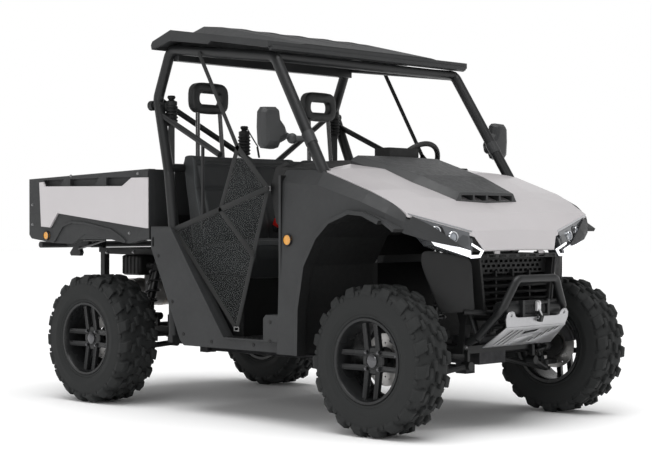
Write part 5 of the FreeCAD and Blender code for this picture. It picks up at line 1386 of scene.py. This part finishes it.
class VEHICLE_OT_front(bpy.types.Operator):
    """Adds the black cheeks, lip and brow round the grille, the skid plate and the winch's rope and hook"""
    bl_idname = "vehicle.front"
    bl_label = "Winch and front fittings"

    PLATE_TILT = math.radians(11)
    DRUM, DRUM_RADIUS, ROPE_RADIUS = Vector((1.446, -0.094, 0.556)), 0.0375, 0.0045

    def skid_plate(self):
        """The bent plate with its ears, its two sets of slots and the raised panel between them, over a dark sheet of
        painted shade.
        """
        ear = [(-0.226, 0.0), (-0.240, 0.036), (-0.236, 0.060), (-0.222, 0.074), (-0.202, 0.078), (-0.186, 0.072),
               (-0.172, 0.052), (-0.150, 0.046)]
        upright = [ear + [(-y, z) for y, z in reversed(ear)]]
        upright += [circle(0.0075, 16, (y, 0.058)) for y in (-0.204, 0.204)]
        up = Vector((math.sin(self.PLATE_TILT), 0, math.cos(self.PLATE_TILT)))
        high, low = Vector((1.500, 0, 0.480)), Vector((1.388, 0, 0.388))
        fall = (high - low).length
        slope = (low - high).normalized()
        normal = slope.cross(Y)
        slots = [(-0.162 + k * 0.036, 0.014, 0.14, 0.88, -0.046) for k in range(3)]
        slots += [(0.062, 0.017, 0.60, 0.84, -0.012), (0.090, 0.017, 0.38, 0.74, -0.012),
                  (0.119, 0.017, 0.20, 0.56, -0.012), (0.149, 0.017, 0.12, 0.40, -0.012),
                  (0.178, 0.017, 0.08, 0.26, -0.012)]
        loops = [[(-0.226, 0), (0.226, 0), (0.262, fall), (-0.262, fall)]]
        loops += [[(y, a * fall), (y + wide, a * fall), (y + wide + lean, b * fall), (y + lean, b * fall)]
                  for y, wide, a, b, lean in slots]
        loops.append([(-0.056, 0.24 * fall), (0.048, 0.13 * fall), (0.038, 0.28 * fall), (-0.062, 0.40 * fall)])
        panel = [(-0.066, 0.54 * fall), (0.036, 0.42 * fall), (0.020, 0.84 * fall), (-0.092, 0.90 * fall)]
        pieces = [plate("upright", upright, 0.006, Vector((1.497, 0, 0.480)), Y, up, 0.0015),
                  plate("slope", loops, 0.006, high, Y, slope, 0.0012),
                  plate("panel", [panel], 0.005, high + normal * 0.004, Y, slope, 0.002),
                  bar("bend", [(1.4985, -0.226, 0.480), (1.4985, 0.226, 0.480)], 0.0036, sides=4)]
        # A dark sheet just behind the slotted plate: painted shade seen through its slots.
        shade_backing = [[(-0.218, 0.006), (0.218, 0.006), (0.250, fall - 0.006), (-0.250, fall - 0.006)]]
        dress(plate("skid_shade_sheet", shade_backing, 0.002, high - normal * 0.008, Y, slope),
              bpy.data.materials["dark_plastic"], "chassis")
        piece = fit("skid_plate", pieces, bpy.data.materials["brushed_plate"])
        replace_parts(piece, "front_plate")

    def surround(self, dark):
        """The cheeks beside the grille, the lip below it and the slotted brow above it."""
        rows = [[(1.392, 0.350, 0.800), (1.352, 0.408, 0.812), (1.296, 0.468, 0.826), (1.238, 0.528, 0.842)],
                [(1.396, 0.347, 0.735), (1.350, 0.402, 0.738), (1.290, 0.462, 0.744), (1.238, 0.516, 0.752)],
                [(1.397, 0.341, 0.660), (1.350, 0.394, 0.660), (1.300, 0.444, 0.662), (1.262, 0.480, 0.666)],
                [(1.391, 0.328, 0.590), (1.348, 0.378, 0.588), (1.300, 0.424, 0.586), (1.266, 0.450, 0.586)],
                [(1.378, 0.298, 0.556), (1.342, 0.346, 0.552), (1.300, 0.384, 0.548), (1.268, 0.400, 0.545)]]
        cheek = settle(primitive("grid", "cheek", x_subdivisions=3, y_subdivisions=4, size=1))
        for vertex in cheek.data.vertices:
            column, row = round((vertex.co.x + 0.5) * 3), round((0.5 - vertex.co.y) * 4)
            vertex.co = rows[row][column]
        modify(cheek, "SUBSURF", levels=2)
        modify(cheek, "SOLIDIFY", thickness=0.006, offset=0)
        tidy(rounded(cheek, 0.002, 2))
        both_sides(cheek, "front_cheek", dark, "chassis")
        half = [(1.345, 0.346, 0.553), (1.378, 0.298, 0.550), (1.396, 0.15, 0.543)]
        line = [(x, -y, z) for x, y, z in half] + [(1.400, 0, 0.541)] + half[::-1]
        dress(bar("lip", line, 0.013, smooth=True, sides=4), dark, "chassis")
        loops = [[(-0.272, 0.797), (0.272, 0.797), (0.268, 0.8155), (-0.268, 0.8155)]]
        for k in range(7):
            y = -0.231 + k * 0.077
            loops.append([(y - 0.026, 0.801), (y + 0.026, 0.801), (y + 0.024, 0.811), (y - 0.024, 0.811)])
        dress(plate("brow", loops, 0.004, X * 1.417, Y, Z, 0.001), dark, "chassis")

    def execute(self, context):
        rope = webbing("winch_rope", (0.03, 0.03, 0.031), 0.004)
        steel = gloss("hook_steel", (0.62, 0.62, 0.63), 0.3, 0.5)
        dark = moulded_plastic("cheek_plastic", tint(tuple(context.scene.vehicle_colours.plastic), 0.28), 0.45)
        self.surround(dark)
        self.skid_plate()
        wound = helix(self.DRUM, X * self.DRUM_RADIUS, Z * self.DRUM_RADIUS, Y * 0.188, 20, 16)
        fit("winch_rope", [bar("wound", wound, self.ROPE_RADIUS, sides=2),
                           bar("lead", [(1.446, 0, 0.5735), (1.506, 0, 0.576)], 0.0066)], rope)
        bend = [(1.509, 0, 0.588), (1.509, 0, 0.562), (1.523, 0, 0.540), (1.529, 0, 0.520), (1.517, 0, 0.504),
                (1.503, 0, 0.514)]
        eye = [(0.0135, -0.006), (0.0135, 0.006), (0.0065, 0.006), (0.0065, -0.006), (0.0135, -0.006)]
        fit("winch_hook", [bar("hook", bend, 0.0075, True, sides=4), lathe("eye", eye, 24, (1.509, 0, 0.586)),
                           rounded_box("clevis", (1.500, -0.0135, 0.550), (1.518, 0.0135, 0.592), 0.004)], steel)
        fit("fairlead_rollers", [bar("roller", [(1.4935, -0.088, z), (1.4935, 0.088, z)], 0.0066, sides=4)
                                 for z in (0.529, 0.588)], dark)
        return {"FINISHED"}


class VEHICLE_OT_fasteners(bpy.types.Operator):
    """Scatters the trim clips and bolts over the panels and frame"""
    bl_idname = "vehicle.fasteners"
    bl_label = "Fasteners"

    SETS = {
        "panel_clips": ((0.7245, ((-0.345, 0.790), (-0.235, 0.560), (-0.150, 0.400), (0.060, 0.371), (0.360, 0.371))),
                        (0.7795, ((0.530, 0.40), (0.530, 0.49)))),
        "bed_bolts": ((0.7045, ((-1.452, 1.06), (-1.452, 0.95), (-0.60, 0.905), (-0.53, 1.215), (-1.10, 1.215))),),
        "frame_bolts": ((0.268, ((-1.34, 0.79), (-1.10, 0.795), (-0.52, 0.792), (0.74, 0.775), (1.10, 0.785))),
                        (0.270, ((1.30, 0.385), (1.10, 0.385), (-0.77, 0.385), (-1.03, 0.385)))),
    }

    def spots(self, name):
        """The places of one set on both sides, each with the direction it faces."""
        return [((x, side * y, z), (0, side, 0))
                for side in (-1, 1) for y, places in self.SETS[name] for x, z in places]

    def execute(self, context):
        black = moulded_plastic("clip_plastic", (0.012, 0.012, 0.012), 0.45)
        zinc = brushed_metal("bolt_steel", (0.28, 0.28, 0.285), 0.35)
        plate_bolts = [((1.502, y, 0.5405), (1, 0, 0)) for y in (-0.204, 0.204)]
        dress(scattered("panel_clips", push_rivet(0.009), self.spots("panel_clips")), black, "chassis")
        dress(scattered("bed_bolts", hex_bolt(0.0075), self.spots("bed_bolts")), zinc, "bed")
        dress(scattered("frame_bolts", hex_bolt(0.009), self.spots("frame_bolts") + plate_bolts), zinc, "chassis")
        return {"FINISHED"}


class VEHICLE_OT_roof(bpy.types.Operator):
    """Adds the ribs pressed along the roof"""
    bl_idname = "vehicle.roof"
    bl_label = "Roof ribs"

    def execute(self, context):
        line = [(0.440, 1.8305), (-0.050, 1.9475), (-0.195, 1.9665)]
        raised = [(x, z + 0.004) for x, z in line] + [(x, z - 0.010) for x, z in reversed(line)]
        ribs = [plate("rib", [raised], 0.045, Y * y, bevel=0.003) for y in (-0.40, -0.20, 0.0, 0.20, 0.40)]
        fit("roof_ribs", ribs, bpy.data.materials["grained_plastic"])
        return {"FINISHED"}


class VEHICLE_PT_panel(bpy.types.Panel):
    """Lists the vehicle's operators in the 3D view's sidebar"""
    bl_label = "Vehicle"
    bl_idname = "VEHICLE_PT_panel"
    bl_space_type = "VIEW_3D"
    bl_region_type = "UI"
    bl_category = "Vehicle"

    def draw(self, context):
        for operator in OPERATORS:
            self.layout.operator(operator.bl_idname)


OPERATORS = (VEHICLE_OT_stage, VEHICLE_OT_finishes, VEHICLE_OT_tyres, VEHICLE_OT_rims, VEHICLE_OT_brakes,
             VEHICLE_OT_seats, VEHICLE_OT_nets, VEHICLE_OT_lamps, VEHICLE_OT_cab, VEHICLE_OT_bed,
             VEHICLE_OT_driveline, VEHICLE_OT_front, VEHICLE_OT_fasteners, VEHICLE_OT_roof)
GROUPS = {"vehicle_colours": VehicleColours, "tyre_sizes": TyreSizes, "rim_sizes": RimSizes, "seat_sizes": SeatSizes,
          "net_sizes": NetSizes, "stage_sizes": StageSizes}


def register():
    for group in GROUPS.values():
        bpy.utils.register_class(group)
    for operator in OPERATORS:
        bpy.utils.register_class(operator)
    bpy.utils.register_class(VEHICLE_PT_panel)
    for name, group in GROUPS.items():
        setattr(bpy.types.Scene, name, PointerProperty(type=group))


def unregister():
    for name in GROUPS:
        delattr(bpy.types.Scene, name)
    bpy.utils.unregister_class(VEHICLE_PT_panel)
    for operator in reversed(OPERATORS):
        bpy.utils.unregister_class(operator)
    for group in reversed(list(GROUPS.values())):
        bpy.utils.unregister_class(group)


def main():
    register()
    for operator in OPERATORS:
        group, name = operator.bl_idname.split(".")
        getattr(getattr(bpy.ops, group), name)()


if __name__ == "__main__":
    main()
